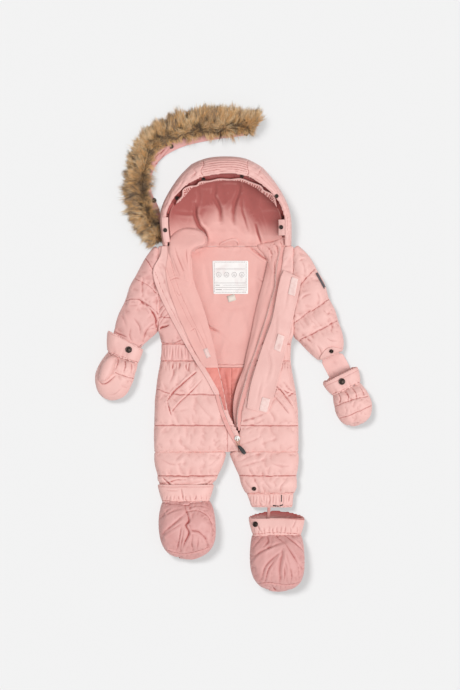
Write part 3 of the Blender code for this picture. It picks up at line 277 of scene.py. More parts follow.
def patchy_colour(material, shader, colour, size, spread, folds=0.0, deep=PAINTED_FOLD_SHADE):
    """The colour with soft lighter and darker places of about the given size in metres; with folds, painted shade
    in the folds and a painted highlight where the cloth stands out.
    """
    tree = material.node_tree
    place = add_node(tree, "TexCoord").outputs["Object"]
    cloud = add_node(tree, "TexNoise", {"Scale": 1 / size, "Detail": 5, "Roughness": 0.6})
    tree.links.new(place, cloud.inputs["Vector"])
    last = colour_ramp(tree, shades(colour, spread), cloud.outputs["Fac"])
    if folds:
        # painted shade towards the deep colour in the folds, and painted highlight where the cloth stands out, both
        # read from the shade attribute
        shade = add_node(tree, "Attribute", attribute_name="shade").outputs["Fac"]
        darker = (v * w for v, w in zip(colour, deep))
        lighter = (min(v * 1.12 + 0.03, 1) for v in colour)
        for amount, other in ((folds, darker), (-PAINTED_RIDGE_HIGHLIGHT, lighter)):
            scaled = add_node(tree, "Math", {1: amount}, operation="MULTIPLY", use_clamp=True)
            mixed = add_node(tree, "Mix", data_type="RGBA")
            mixed.inputs["B"].default_value = (*other, 1)
            tree.links.new(shade, scaled.inputs[0])
            tree.links.new(scaled.outputs[0], mixed.inputs["Factor"])
            tree.links.new(last, mixed.inputs["A"])
            last = mixed.outputs["Result"]
    tree.links.new(last, shader.inputs["Base Color"])
    return place


def noise_bump(detail, distortion, values=None, **options):
    return [("Noise", 1.0, {"Detail": detail, "Distortion": distortion, **(values or {})}, options)]


# kind of bump: its textures, each with name, scale times size, inputs and options; two of them are multiplied
BUMPS = {
    "weave": [("Wave", 0.314, {"Distortion": 0.6}, {"bands_direction": axis}) for axis in "XY"],
    "rib": [("Wave", 0.18, {}, {"bands_direction": "DIAGONAL"})],
    "loops": [("Voronoi", 1.0, {}, {})],
    "fuzz": noise_bump(2, 0.0),
    "crumple": noise_bump(4, 0.8),
    "wrinkle": noise_bump(2, 0.5, {"Gain": 1.6, "Offset": 0.85}, noise_type="RIDGED_MULTIFRACTAL"),
}


def add_bumps(material, shader, place, layers):
    """A chain of bumps: each (kind, size in metres, strength, depth in metres)."""
    tree, normal = material.node_tree, None
    for kind, size, strength, depth in layers:
        heights = []
        for name, scale, values, options in BUMPS[kind]:
            texture = add_node(tree, "Tex" + name, {"Scale": scale / size, **values}, **options)
            tree.links.new(place, texture.inputs["Vector"])
            heights.append(texture.outputs["Distance" if name == "Voronoi" else "Fac"])
        if len(heights) == 2:
            product = add_node(tree, "Math", operation="MULTIPLY")
            tree.links.new(heights[0], product.inputs[0])
            tree.links.new(heights[1], product.inputs[1])
            heights = [product.outputs[0]]
        bump = add_node(tree, "Bump", {"Strength": strength, "Distance": depth})
        tree.links.new(heights[0], bump.inputs["Height"])
        if normal is not None:
            tree.links.new(normal, bump.inputs["Normal"])
        normal = bump.outputs["Normal"]
    tree.links.new(normal, shader.inputs["Normal"])


CLOTH_TINT = (1, 0.85, 0.82)
FUR_TINT = (1, 0.9, 0.75)


def cloth_material(name, colour, roughness, specular, sheen, patch, spread, bumps, folds=1.0, deep=PAINTED_FOLD_SHADE):
    material, shader = base_material(name, roughness, specular, sheen=sheen, tint=CLOTH_TINT)
    add_bumps(material, shader, patchy_colour(material, shader, colour, patch, spread, folds, deep), bumps)
    return material


NYLON_BUMPS = (("wrinkle", 0.018, 0.12, 0.0014), ("wrinkle", 0.0065, 0.12, 0.0007),
               ("crumple", 0.004, 0.15, 0.0006), ("weave", 0.0007, 0.12, 0.0001))
FLEECE_BUMPS = (("crumple", 0.012, 0.25, 0.002), ("fuzz", 0.0017, 0.55, 0.0006), ("fuzz", 0.0006, 0.35, 0.0003))
LINING_BUMPS = (("crumple", 0.008, 0.3, 0.0015), ("weave", 0.0006, 0.1, 0.0001))
HOOK_BUMPS = (("loops", 0.0011, 0.7, 0.0005), ("fuzz", 0.0005, 0.5, 0.0003))

# look: name, colour, roughness, specular, sheen, size and spread of its patches, bumps, and the strength and the
# colour left by the painted shade in its folds
CLOTHS = {
    "nylon": ("shell_nylon", (0.80, 0.475, 0.435), 0.50, 0.4, 0.12, 0.05, 0.05, NYLON_BUMPS),
    # the sleeve look is the shell nylon made darker, painted shade for the left sleeve and the upper left front
    "sleeve": ("shell_nylon_shaded", (0.755, 0.420, 0.388), 0.50, 0.4, 0.12, 0.05, 0.06, NYLON_BUMPS),
    # the bootie look is darker still, painted shade for the booties, and it is also worn by the strip under the fur
    "bootie": ("bootie_nylon", (0.68, 0.350, 0.328), 0.50, 0.4, 0.12, 0.03, 0.08, NYLON_BUMPS),
    "fleece": ("brushed_fleece", (0.80, 0.440, 0.400), 0.95, 0.15, 0.35, 0.04, 0.05, FLEECE_BUMPS, 0.75),
    "hood_fleece": ("hood_fleece", (0.80, 0.430, 0.390), 0.95, 0.15, 0.30, 0.04, 0.06, FLEECE_BUMPS, 1.0,
                    PAINTED_HOLLOW_SHADE),
    "lining": ("lining_nylon", (0.74, 0.245, 0.205), 0.48, 0.4, 0.1, 0.03, 0.08, LINING_BUMPS, 0.8, PAINTED_HOLLOW_SHADE),
    "hook_loop": ("hook_and_loop", (0.86, 0.63, 0.59), 0.9, 0.2, 0.3, 0.006, 0.09, HOOK_BUMPS),
}
# the same for trims with one bump
TRIMS = {
    "tape": ("zip_tape", (0.76, 0.385, 0.350), 0.7, 0.3, 0.1, 0.02, 0.05, "rib", 0.0008, 0.4, 0.0002),
    "label": ("label_satin", (0.85, 0.82, 0.80), 0.45, 0.5, 0.1, 0.02, 0.02, "weave", 0.0006, 0.2, 0.0001),
    "print": ("label_print", (0.24, 0.19, 0.20), 0.6, 0.3, 0.0, 0.01, 0.03, "fuzz", 0.0005, 0.1, 0.0001),
    "cream": ("size_tag", (0.78, 0.70, 0.62), 0.6, 0.3, 0.1, 0.01, 0.05, "weave", 0.0005, 0.2, 0.0001),
    "thread": ("sewing_thread", (0.70, 0.335, 0.305), 0.55, 0.4, 0.0, 0.004, 0.08, "fuzz", 0.0004, 0.2, 0.0001),
    "elastic": ("black_elastic", (0.012, 0.011, 0.011), 0.7, 0.3, 0.1, 0.003, 0.1, "rib", 0.0006, 0.4, 0.0002),
    "cord": ("braided_cord", (0.42, 0.27, 0.16), 0.75, 0.3, 0.1, 0.002, 0.15, "rib", 0.0008, 0.5, 0.0002),
    "rubber": ("pull_rubber", (0.014, 0.012, 0.012), 0.45, 0.45, 0.0, 0.003, 0.1, "fuzz", 0.0006, 0.2, 0.0001),
    "badge": ("bare_badge", (0.10, 0.085, 0.095), 0.6, 0.4, 0.1, 0.004, 0.1, "weave", 0.0006, 0.3, 0.0001),
}
# look: name, roughness, metallic, colour, size and spread of its patches, and its bump
HARD = {
    "metal": ("dark_snap", 0.33, 0.85, (0.055, 0.040, 0.034), 0.003, 0.25, ("fuzz", 0.0012, 0.12, 0.0002)),
    "enamel": ("slider_enamel", 0.25, 0.0, (0.86, 0.83, 0.80), 0.004, 0.03, ("fuzz", 0.002, 0.05, 0.0001)),
    "teeth": ("zip_teeth", 0.35, 0.0, (0.88, 0.62, 0.57), 0.004, 0.05, ("fuzz", 0.001, 0.1, 0.0001)),
}
# look: roughness, and colours from a dark root to a light tip
FURS = {
    "hair": (0.5, ((0.0, (0.045, 0.030, 0.020)), (0.18, (0.12, 0.078, 0.050)), (0.32, (0.33, 0.24, 0.165)),
                   (0.5, (0.62, 0.345, 0.135)), (0.66, (0.78, 0.46, 0.19)), (0.80, (0.72, 0.51, 0.29)),
                   (1.0, (0.90, 0.74, 0.50)))),
    "underfur": (0.8, ((0.0, (0.060, 0.040, 0.026)), (0.5, (0.25, 0.16, 0.085)), (1.0, (0.52, 0.35, 0.19)))),
}


def make_materials():
    looks = {look: cloth_material(*row) for look, row in CLOTHS.items()}
    looks.update({look: cloth_material(*row[:7], (row[7:],)) for look, row in TRIMS.items()})
    for look, (name, roughness, metallic, colour, size, spread, bump) in HARD.items():
        looks[look], shader = base_material(name, roughness, metallic=metallic)
        place = patchy_colour(looks[look], shader, colour, size, spread)
        add_bumps(looks[look], shader, place, (bump,))
    for look, (roughness, stops) in FURS.items():
        looks[look], shader = base_material(look, roughness, 0.35, sheen=0.15, tint=FUR_TINT)
        tree = looks[look].node_tree
        shade = add_node(tree, "Attribute", attribute_name="shade").outputs["Fac"]
        tree.links.new(colour_ramp(tree, stops, shade), shader.inputs["Base Color"])
    return looks


LOOKS = make_materials()

# ---------------------------------------------------------------- pieces

COLLECTION = bpy.data.collections.new("dressed")
bpy.context.scene.collection.children.link(COLLECTION)
TREES = {}                     # name of a finished piece -> its surface, to lay other things on
RIM_ANGLE = math.radians(62)   # a sharper edge of the CAD stays sharp by RIM_CREASE
RIM_CREASE = 0.9
WELD = 0.00002                 # CAD points closer than this are one, in metres
ABOVE_ALL = 0.3                # a height in metres over every piece
DOWN = Vector((0, 0, -1))

# The cut of each cloth piece in millimetres: width and length, all round where it is a tube
CUTS = {
    "back_lining": (190, 240), "bodice_back": (265, 210), "bodice_front_left": (125, 195),
    "bodice_front_right": (70, 200), "bootie_left": (260, 145), "bootie_left_cuff": (245, 38),
    "bootie_right": (260, 140), "bootie_right_cuff": (245, 44), "bootie_strap": (10, 42),
    "care_label": (72, 68), "facing_left": (75, 250), "flap_patch_1": (13, 38), "flap_patch_2": (13, 37),
    "flap_patch_3": (15, 30), "fur_strip": (30, 480), "hanger_loop": (10, 42), "hem_right": (205, 31),
    "hood_brim": (45, 560), "hood_centre": (160, 190), "hood_frill": (24, 430), "hood_left": (120, 180),
    "hood_right": (115, 175), "hood_lining": (300, 220), "hood_tab_left": (17, 52), "hood_tab_right": (16, 36),
    "leg_left": (285, 92), "leg_right": (280, 88), "lining_left": (25, 95), "lower_front_left": (190, 185),
    "lower_front_right": (140, 185), "lower_lining": (130, 142), "mitten_left": (165, 102),
    "mitten_left_cuff": (160, 44), "mitten_left_thumb": (60, 36), "mitten_right": (150, 94),
    "mitten_right_cuff": (150, 44), "mitten_right_strap": (52, 60), "placket_left": (24, 310),
    "pocket_welt_left": (21, 78), "pocket_welt_right": (18, 56), "seat_back": (300, 225),
    "sleeve_left": (155, 215), "sleeve_right": (170, 232), "sleeve_tab_right": (17, 48),
    "storm_flap": (54, 284), "underlap_right": (38, 370), "waist_front_left": (42, 130),
    "waist_front_right": (40, 80), "zip_tape_left": (11, 114), "zip_tape_right": (11, 364),
}


def half_area(mesh):
    return sum(p.area for p in mesh.polygons) / 2


def fine_copy(node, levels):
    """A finer copy of a CAD solid with its rims kept, and the coordinates and normals of its points in mm."""
    work = bmesh.new()
    work.from_mesh(frame["nodes"][node].data)
    bmesh.ops.remove_doubles(work, verts=work.verts, dist=WELD)
    bmesh.ops.join_triangles(work, faces=work.faces, angle_face_threshold=math.pi, angle_shape_threshold=math.pi)
    kept = work.edges.layers.float.new("crease_edge")
    for edge in work.edges:
        if len(edge.link_faces) == 2 and edge.calc_face_angle(0.0) > RIM_ANGLE:
            edge[kept] = RIM_CREASE
    mesh = bpy.data.meshes.new(node)
    work.to_mesh(mesh)
    work.free()
    piece = bpy.data.objects.new(node + "_cloth", mesh)
    COLLECTION.objects.link(piece)
    finer = piece.modifiers.new("finer", "SUBSURF")
    finer.levels = finer.render_levels = levels
    apply_modifiers(piece)
    return piece, *points_of(piece)


def set_points(piece, co):
    piece.data.vertices.foreach_set("co", (co * MM).ravel())
    piece.data.update()


def store_shade(mesh, values):
    layer = mesh.attributes.new("shade", "FLOAT", "POINT")
    layer.data.foreach_set("value", np.asarray(values, np.float32))


def paint_fold_shade(piece, painted_shade=None, rounds=3, gain=2.6):
    """Stores painted shade, by how deep each point lies in a fold (to 1), and painted highlight, by how far it
    stands out (to -1).
    """
    mesh = piece.data
    co, normals = points_of(piece)
    ends = np.empty(len(mesh.edges) * 2, np.int64)
    mesh.edges.foreach_get("vertices", ends)
    a, b = ends[::2], ends[1::2]
    count = np.maximum(np.bincount(a, minlength=len(co)) + np.bincount(b, minlength=len(co)), 1)
    flat = co.copy()
    for _ in range(rounds):
        total = [np.bincount(a, flat[b, k], len(co)) + np.bincount(b, flat[a, k], len(co)) for k in range(3)]
        flat = 0.5 * flat + 0.5 * np.stack(total, axis=1) / count[:, None]
    depth = ((flat - co) * normals).sum(axis=1)
    shade = np.clip(depth * gain * fade(normals[:, 2], -0.2, 0.3), -1, 1)
    # more painted shade, given point by point
    if painted_shade is not None:
        shade = np.clip(np.maximum(shade, 0) + painted_shade + np.minimum(shade, 0) * 0.5, -1, 1)
    store_shade(mesh, shade)


def thin_out(piece, share=0.42, small=20000):
    """Takes faces out of a large piece, where it is flat, so that the scene keeps its budget of triangles."""
    mesh = piece.data
    if len(mesh.loops) - 2 * len(mesh.polygons) > small:
        fewer = piece.modifiers.new("fewer", "DECIMATE")
        fewer.ratio = share
        apply_modifiers(piece)


SHARP_ANGLE = math.radians(60)
LEAST_SHARE = 0.3          # the least part of a piece's cut that is stated as its area


def wear(piece, node, look, slot):
    """Gives a piece its look, and hides the CAD node that it stands in for."""
    piece.data.materials.clear()
    piece.data.materials.append(LOOKS[look])
    piece.data.shade_smooth()
    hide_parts(node)
    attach(piece, "suit")


def finish_piece(piece, node, look, rests=()):
    # painted shade in the folds, for a piece that has none yet
    if "shade" not in piece.data.attributes:
        paint_fold_shade(piece)
    thin_out(piece)
    wear(piece, node, look, frame_slot(node))
    piece.data.set_sharp_from_angle(angle=SHARP_ANGLE)
    if node in CUTS:
        width, length = (v * MM for v in CUTS[node])
        area = max(min(half_area(piece.data), width * length), LEAST_SHARE * width * length)
        list(rests)
    register(piece)
    return piece


def frame_slot(node):
    return next(s["material_slot"] for s in frame["record"]["subparts"] if s["node"] == node)


def register(piece):
    """Keeps the surface of a finished piece, to lay other things on."""
    mesh = piece.data
    TREES[piece.name] = BVHTree.FromPolygons([v.co.copy() for v in mesh.vertices],
                                             [tuple(p.vertices) for p in mesh.polygons])


def even_mesh(piece, size):
    """Remeshes a closed piece to even faces that lie on its old surface."""
    target = piece.copy()
    target.data = piece.data.copy()
    COLLECTION.objects.link(target)
    grid = piece.modifiers.new("grid", "REMESH")
    grid.mode, grid.voxel_size = "VOXEL", size * MM
    ease = piece.modifiers.new("ease", "SMOOTH")
    ease.factor, ease.iterations = 0.5, 6
    wrap = piece.modifiers.new("wrap", "SHRINKWRAP")
    wrap.target, wrap.wrap_method = target, "NEAREST_SURFACEPOINT"
    apply_modifiers(piece)
    bpy.data.objects.remove(target)


def apply_modifiers(piece):
    bpy.context.view_layer.update()
    baked = bpy.data.meshes.new_from_object(piece.evaluated_get(bpy.context.evaluated_depsgraph_get()))
    piece.modifiers.clear()
    piece.data = baked


def points_of(piece):
    count = len(piece.data.vertices)
    co, normals = np.empty(count * 3), np.empty(count * 3, np.float32)
    piece.data.vertices.foreach_get("co", co)
    piece.data.vertex_normals.foreach_get("vector", normals)
    return co.reshape(-1, 3) / MM, normals.reshape(-1, 3).astype(float)


def settle(piece, co, hold, grow, pressure, cap, frames=16):
    """Cloth simulation: the shell is wider than what it covers, is held at its seams and swells between them."""
    group = piece.vertex_groups.new(name="hold")
    for step in range(1, 11):
        chosen = np.flatnonzero(np.rint(hold * 10).astype(int) == step)
        if len(chosen):
            group.add(chosen.tolist(), step / 10, "REPLACE")
    cloth = piece.modifiers.new("cloth", "CLOTH")
    for name, value in (("quality", 5), ("mass", 0.2), ("air_damping", 3.0), ("tension_stiffness", 22),
                        ("compression_stiffness", 22), ("shear_stiffness", 6), ("bending_stiffness", 4.0),
                        ("vertex_group_mass", "hold"), ("pin_stiffness", 1.0), ("shrink_min", -grow),
                        ("use_pressure", True), ("uniform_pressure_force", pressure)):
        setattr(cloth.settings, name, value)
    cloth.settings.effector_weights.gravity = 0.0
    cloth.collision_settings.use_collision = False
    cloth.point_cache.frame_start, cloth.point_cache.frame_end = 1, frames
    scene = bpy.context.scene
    for number in range(1, frames + 1):
        scene.frame_set(number)
    evaluated = piece.evaluated_get(bpy.context.evaluated_depsgraph_get()).data
    after = np.empty(len(co) * 3)
    evaluated.vertices.foreach_get("co", after)
    piece.modifiers.clear()
    piece.vertex_groups.clear()
    scene.frame_set(1)
    move = after.reshape(-1, 3) / MM - co
    length = np.linalg.norm(move, axis=1)
    move *= (cap * np.tanh(length / cap) / np.maximum(length, 1e-6))[:, None]
    return co + move


def seam_hold(xy, seams, reach=2.2):
    """How firmly each point is held, by its distance in mm to the seams."""
    hold = np.zeros(len(xy))
    for *_, points in seams:
        near, dist, _, _, _ = along_line(xy, smooth_line(points), 3 * reach)
        if len(near):
            hold[near] = np.maximum(hold[near], bell(dist, reach))
    return hold


PLAIN = (0.0, 10.0, 1)         # no wrinkles


def wrinkles(xy, amount, size, seed, stretch=1.0, turn=0.0):
    """Heights of wrinkles: their amount and size in mm, seed, stretch and direction."""
    return amount * crumple(*xy.T, size, seed, stretch, turn)


def dress(node, levels, look, creases=(), seams=(), wrinkle=(0.5, 16.0, 1), above=(7.0, 12.0), swell=1.6,
          puff=None, painted_shade=None, down=0.0):
    """A padded piece: lines and wrinkles move its upper side along its normals, the underside stays flat.

    puff holds the size of its mesh in mm and, where it is to be settled, what settle takes.
    """
    def upper():
        """How far each point belongs to the upper side."""
        return fade(normals[:, 2], -0.15, 0.55) * fade(co[:, 2], *above)

    piece, co, normals = fine_copy(node, levels)
    if puff:
        even_mesh(piece, puff[0])
        co, normals = points_of(piece)
    up = upper()
    side = np.hypot(normals[:, 0], normals[:, 1]) * fade(co[:, 2], 1.0, 5.0)
    xy = co[:, :2].copy()
    co += normals * (wrinkles(xy, *wrinkle) * up)[:, None]
    co[:, :2] += normals[:, :2] * (swell * side)[:, None]
    co[:, 1] -= down * fade(-normals[:, 1], 0.1, 0.8)
    if puff:
        set_points(piece, co)
        if len(puff) > 1:
            hold = np.clip(np.maximum(seam_hold(xy, seams), 1 - 1.15 * up), 0, 1)
            set_points(piece, settle(piece, co, hold, *puff[1:]))
        finer = piece.modifiers.new("finer", "SUBSURF")
        finer.levels = finer.render_levels = 1
        apply_modifiers(piece)
        co, normals = points_of(piece)
        up = upper()
    relief = crease_relief(co[:, :2], creases) + seam_relief(co[:, :2], seams)
    co += normals * (relief * up)[:, None]
    set_points(piece, co)
    # painted shade, where it is given
    if painted_shade:
        paint_fold_shade(piece, painted_shade(to_point(co[:, :2])))
    return finish_piece(piece, node, look)


def drape(node, levels, look, creases=(), seams=(), wrinkle=(0.5, 16.0, 1), top_only=False, rests=(), swell=0.0,
          widen=1.0, press=None, painted_shade=None, fall=None):
    """A thin piece: lines and wrinkles lift the whole sheet, or its top face alone."""
    piece, co, normals = fine_copy(node, levels)
    if widen != 1:
        middle = co[:, :2].mean(axis=0)
        _, ways = np.linalg.eigh(np.cov((co[:, :2] - middle).T))
        co[:, :2] += np.outer((co[:, :2] - middle) @ ways[:, 0], ways[:, 0]) * (widen - 1)
    if press:
        for k, (x, y, _) in enumerate(co):
            spot = top_of(press, x, y)
            if spot is not None:
                co[k, 2] = spot[0] + 0.25 + (0.55 if normals[k, 2] > 0 else -0.6)
    if swell:
        co[:, :2] += normals[:, :2] * swell
    xy = co[:, :2].copy()
    relief = crease_relief(xy, creases) + seam_relief(xy, seams) + wrinkles(xy, *wrinkle)
    if top_only:
        relief = relief * fade(normals[:, 2], 0.0, 0.5)
    else:
        relief = np.maximum(relief + wrinkle[0] * 0.6, -0.1)
    if fall:
        relief = relief - fall(to_point(xy))
    co[:, 2] += relief
    set_points(piece, co)
    # painted shade, where it is given
    if painted_shade:
        paint_fold_shade(piece, painted_shade(to_point(co[:, :2])))
    return finish_piece(piece, node, look, rests)


def top_of(names, x, y):
    """Height and normal of the highest of some pieces at a place in mm, or None."""
    best = None
    for name in names:
        hit, normal, _, _ = TREES[name].ray_cast(Vector((x * MM, y * MM, ABOVE_ALL)), DOWN)
        if hit is not None and (best is None or hit.z > best[0]):
            best = (hit.z, normal)
    return (best[0] / MM, best[1]) if best else None


# ---------------------------------------------------------------- small things

def edit(mesh, change):
    """Lets a function change a mesh."""
    work = bmesh.new()
    work.from_mesh(mesh)
    change(work)
    work.to_mesh(mesh)
    work.free()


def joined_mesh(name, points, faces, look, slot):
    """A piece of loose small parts, or of one grid, that rides on the suit."""
    mesh = bpy.data.meshes.new(name)
    mesh.from_pydata([tuple(p) for p in np.asarray(points) * MM], [], faces)
    mesh.materials.append(LOOKS[look])
    mesh.shade_smooth()
    piece = bpy.data.objects.new(name, mesh)
    COLLECTION.objects.link(piece)
    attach(piece, "suit")
    return piece


STITCH = (2.3, 0.5, 0.32)          # length, width and height of a stitch in mm
STITCH_STEP = 3.3
STITCH_SINK = Vector((0, 0, 0.12))
STEEPEST = 2.5                     # a stitch isn't sewn across a greater step, in mm


def add_stitches(store, line, below):
    """Stitches along a line in mm of the row frame, lying on the pieces below."""
    points, faces = store
    length, width, height = STITCH
    run = run_of(line)
    for start in np.arange(0.6, run[-1] - length, STITCH_STEP):
        ends = []
        for s in (start, start + length):
            x, y = at_run(line, run, s)
            spot = top_of(below, x, y)
            if spot is None:
                break
            ends.append(Vector((x, y, spot[0])))
        if len(ends) < 2 or abs(ends[0].z - ends[1].z) > STEEPEST:
            continue
        along = (ends[1] - ends[0]).normalized()
        across = Vector((-along.y, along.x, 0)).normalized() * width / 2
        first = len(points)
        for share, scale, lift in ((0.0, 0.4, 0.3), (0.25, 1.0, 1.0), (0.75, 1.0, 1.0), (1.0, 0.4, 0.3)):
            centre = ends[0].lerp(ends[1], share)
            points.extend([centre - across * scale - STITCH_SINK, centre + Vector((0, 0, height * lift)),
                           centre + across * scale - STITCH_SINK])
        for a in range(first, first + 9, 3):
            faces.extend([(a, a + 1, a + 4, a + 3), (a + 1, a + 2, a + 5, a + 4)])


def offset_line(line, distance):
    """A line beside another, on its left at a positive distance in mm."""
    steps = np.gradient(line, axis=0)
    steps /= np.hypot(steps[:, 0], steps[:, 1])[:, None]
    return line + np.stack([-steps[:, 1], steps[:, 0]], axis=1) * distance


def lathe(store, centre, normal, profile, sides=20):
    """Adds a turned form: profile rows are radius and height in mm."""
    points, faces = store
    turn = normal.to_track_quat("Z", "Y").to_matrix()
    first = len(points)
    for radius, level in profile:
        for k in range(sides):
            t = 2 * math.pi * k / sides
            points.append(centre + turn @ Vector((radius * math.cos(t), radius * math.sin(t), level)))
    for row in range(len(profile) - 1):
        for k in range(sides):
            a, b = first + row * sides + k, first + row * sides + (k + 1) % sides
            faces.append((a, b, b + sides, a + sides))
    faces.append(tuple(first + (len(profile) - 1) * sides + k for k in range(sides)))


# radius and height of the rows of a turned snap, as shares of its own: a cap with a rolled rim, a ring groove and
# a shallow dome, and a ring with a stud in its middle
CAP = ((0.86, 0.0), (1.0, 0.3), (1.0, 0.6), (0.93, 0.92), (0.80, 1.0), (0.70, 0.74), (0.62, 0.70), (0.52, 0.95),
       (0.28, 1.12), (0.0, 1.15))
SOCKET = ((0.9, 0.0), (1.0, 0.4), (0.92, 0.9), (0.72, 1.0), (0.60, 0.55), (0.42, 0.5), (0.36, 1.1), (0.18, 1.25),
          (0.0, 1.25))
SMALLEST_RADIUS = 0.05


def turned(shares, radius, height):
    """The profile of a snap in mm."""
    return [(max(r * radius, SMALLEST_RADIUS), h * height) for r, h in shares]


def node_snap(node, shares, radius, height):
    """A detailed snap in place of a plain CAD cap."""
    low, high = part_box(node)
    centre = (low + high) / 2 / MM
    mesh = frame["nodes"][node].data
    areas = sorted(mesh.polygons, key=lambda p: -p.area * p.normal.z)[:6]
    normal = sum((p.normal * p.area for p in areas), Vector()).normalized()
    store = ([], [])
    lathe(store, centre - normal * 1.1, normal, turned(shares, radius, height))
    piece = joined_mesh(node + "_detail", *store, "metal", "snap_metal")
    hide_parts(node)


def surface_snap(store, point, below, shares, radius, height, sink=0.2):
    """A small snap on the pieces below a picture point."""
    x, y = plan(point)
    spot = top_of(below, x, y)
    if spot is None:
        return
    ring = [top_of(below, x + dx, y + dy) for dx, dy in ((-radius, 0), (radius, 0), (0, -radius), (0, radius))]
    level = max([spot[0]] + [s[0] for s in ring if s is not None and abs(s[0] - spot[0]) < 4])
    normal = (Vector((0, 0, 1)) + spot[1] * 0.5).normalized()
    lathe(store, Vector((x, y, level - sink)), normal, turned(shares, radius, height))


# ---------------------------------------------------------------- lines of the shell
# Rows of creases hold depth, width and lip in mm, rows of seams depth, width, pucker, pitch and reach in mm. Both
# then hold picture points.
CREASE, SEAM = 3, 5

LOWER_CREASES = rows(CREASE, """
1.6 3 0.7 171,361 174,372 170,383
1.2 3 0.5 183,362 190,372 193,380
0.9 4 0.5 160,404 176,411 190,409
0.9 3.5 0.5 196,400 206,412 214,421
0.8 5 0.4 196,430 180,441 160,440
2 3 1 264,414 254,418 242,421
1.5 3 0.8 262,421 252,426 243,430
1.4 3.5 0.8 268,409 274,418 272,425
1.2 3 0.6 277,396 272,403 268,410
1.3 3 0.7 283,381 288,388 294,392
1 3 0.5 291,404 295,411 298,420
1.2 3 0.6 240,445 252,441 262,436
1 3.5 0.5 256,447 270,441 282,438
""")
LOWER_SEAMS = rows(SEAM, """
2.4 2 0.9 9 11 150,425.4 228,425.4 300,425.6
1.8 2.2 0.8 10 10 150,388 157.4,388.8 170.8,393.6 192,394.4 214,394.8
1.6 2.2 0.8 9 9 270,391 279,389.5 288,392 298,395
1.6 1.6 0.6 7 8 226.6,421 227.4,437 227.6,452
0.9 2.2 0.8 8 9 152,451.2 190,451.6 226,451.6
0.9 2.2 0.8 8 9 229,451.6 262,451.6 299,451.4
""")
POCKET_LIPS = rows(CREASE, """
5.6 1.7 1.8 167.4,400.4 174,392 184,382.6 196.4,372
2 1.8 0.8 171,413 180,402 191,392 202,380
2.4 1.6 0.8 167.6,401 169.5,409 171.5,415
5.2 1.7 1.8 275.6,386 281,391 287,398 292,405
2.6 1.7 0.8 274,395.5 281,403.6 288.4,413
1.8 1.7 0.8 284,397 290,395 296,391
""")
WAIST_SEAMS = rows(SEAM, """
2.2 1.8 1.5 6.5 15 156,343.6 190,343.9 214,343.9 262,343.9 295,343.9
2.2 1.8 1.7 6 15 156,360.8 190,360.8 214,360.8 262,360.8 295,360.8
""")
WAIST_GATHERS = (gathers(159, 206, 345, 360, 3.4, 1.1, 141) + gathers(262, 297, 345, 360, 3.4, 1.1, 142)
                 + gathers(158, 208, 362, 371, 3.6, 1.0, 143)[:12]
                 + gathers(264, 297, 362, 371, 2.6, 1.0, 144)[:12])
BODICE_CREASES = rows(CREASE, """
6.5 1.8 1.8 160,329 162,327.2 165.5,326.2 169,325
1.5 1.7 0.8 159,325 164,318 168,314
1.2 1.7 0.7 159.5,318 163,312 167,307
1 1.7 0.6 160,309.5 162,307 165,304.5
3.2 1.8 1.2 161,342.4 169,344.8 176,343 183,339.5
1.5 3 0.6 160,270 163,280 164,292
1.6 2.6 0.7 292,300 293,312 291,324
1.4 2.6 0.6 289,326 290,334 286,341
""")
BODICE_SEAMS = rows(SEAM, """
1.6 2 1 8 10 158,266.5 165,266.3 172,266.3
1.6 2 1 8 10 158,292 170,292 184,292
1.6 2 1.1 8 10 158,317.7 172,317.7 190,317.7
1.6 2 1 8 9 286,317.7 290,317.7 294,317.7
""")
LEFT_SLEEVE_CREASES = rows(CREASE, """
2 2.4 1.2 138.6,299 144,304 151.5,307.4
5.4 2.2 2.4 149.6,308.6 152,311.5 155,316 156.6,321 157,327
1.7 1.7 0.9 157,297 157.4,312 157.6,332
2.6 3 1.5 143.6,341 147,331 153,325 157,322
1.6 2.8 0.9 120.6,307 122.5,315 126.5,326
2 1.8 1 113,330.6 118.6,333.8 127,337
1.4 2.6 0.9 143,276 142.6,286 143.2,297
1.4 2.8 0.8 134,318 139.6,326 141,336
1.8 3.6 0.9 153.4,276 155,288 156,298
1.2 3 0.6 128.6,288 126.6,299 124,312
1.4 2.2 0.7 148,331 152,329 157,328.6
1.2 2.2 0.6 131,329 130,336 133,342
""")
LEFT_SLEEVE_SEAMS = rows(SEAM, """
2.4 1.7 0.8 8 9 144.4,257 148,262 151.6,267.6 154,271
0.9 2.2 0.9 9 10 132,277 146,284 158.7,294.6
1.2 2 0.9 9 11 125.4,300.6 138.6,299.6 151,307 158.7,314
0.8 2.4 1.2 8 13 158.4,252 158.6,285 158.6,328
""")
RIGHT_SLEEVE_CREASES = rows(CREASE, """
1.8 3 0.9 300,300 305,296 311,294
1.5 3 0.8 317,292 319,299 318,306
1.6 3 0.8 330,318 332,325 331,332
1.8 3 1 301,333 306,338 313,343
1.4 2.6 0.8 299,341 306,346 312,353
1.6 3.2 0.8 300,258 304,266 305,277
1.3 3 0.6 311,262 313,268 319,276
1.2 3 0.6 322,308 326,313 333,314
1.4 3 0.7 296,281 298,292 297,305
1.3 2.6 0.6 316,344 320,350 322,358
1.2 2.6 0.5 326,338 332,341 338,341
""")
RIGHT_SLEEVE_SEAMS = rows(SEAM, """
1.9 3.4 1 8 11 293,295 300.3,285.7 307,278 315,269.5
1.9 3.4 1.1 8 11 292,323 295,321.7 311,311 325.7,301.7 330,299
1.9 3.2 1.2 7 11 299,341 312,333.7 328,325.7 339,319.5
0.8 2.4 1.1 8 13 293.4,250 293.6,290 293.8,336
""")
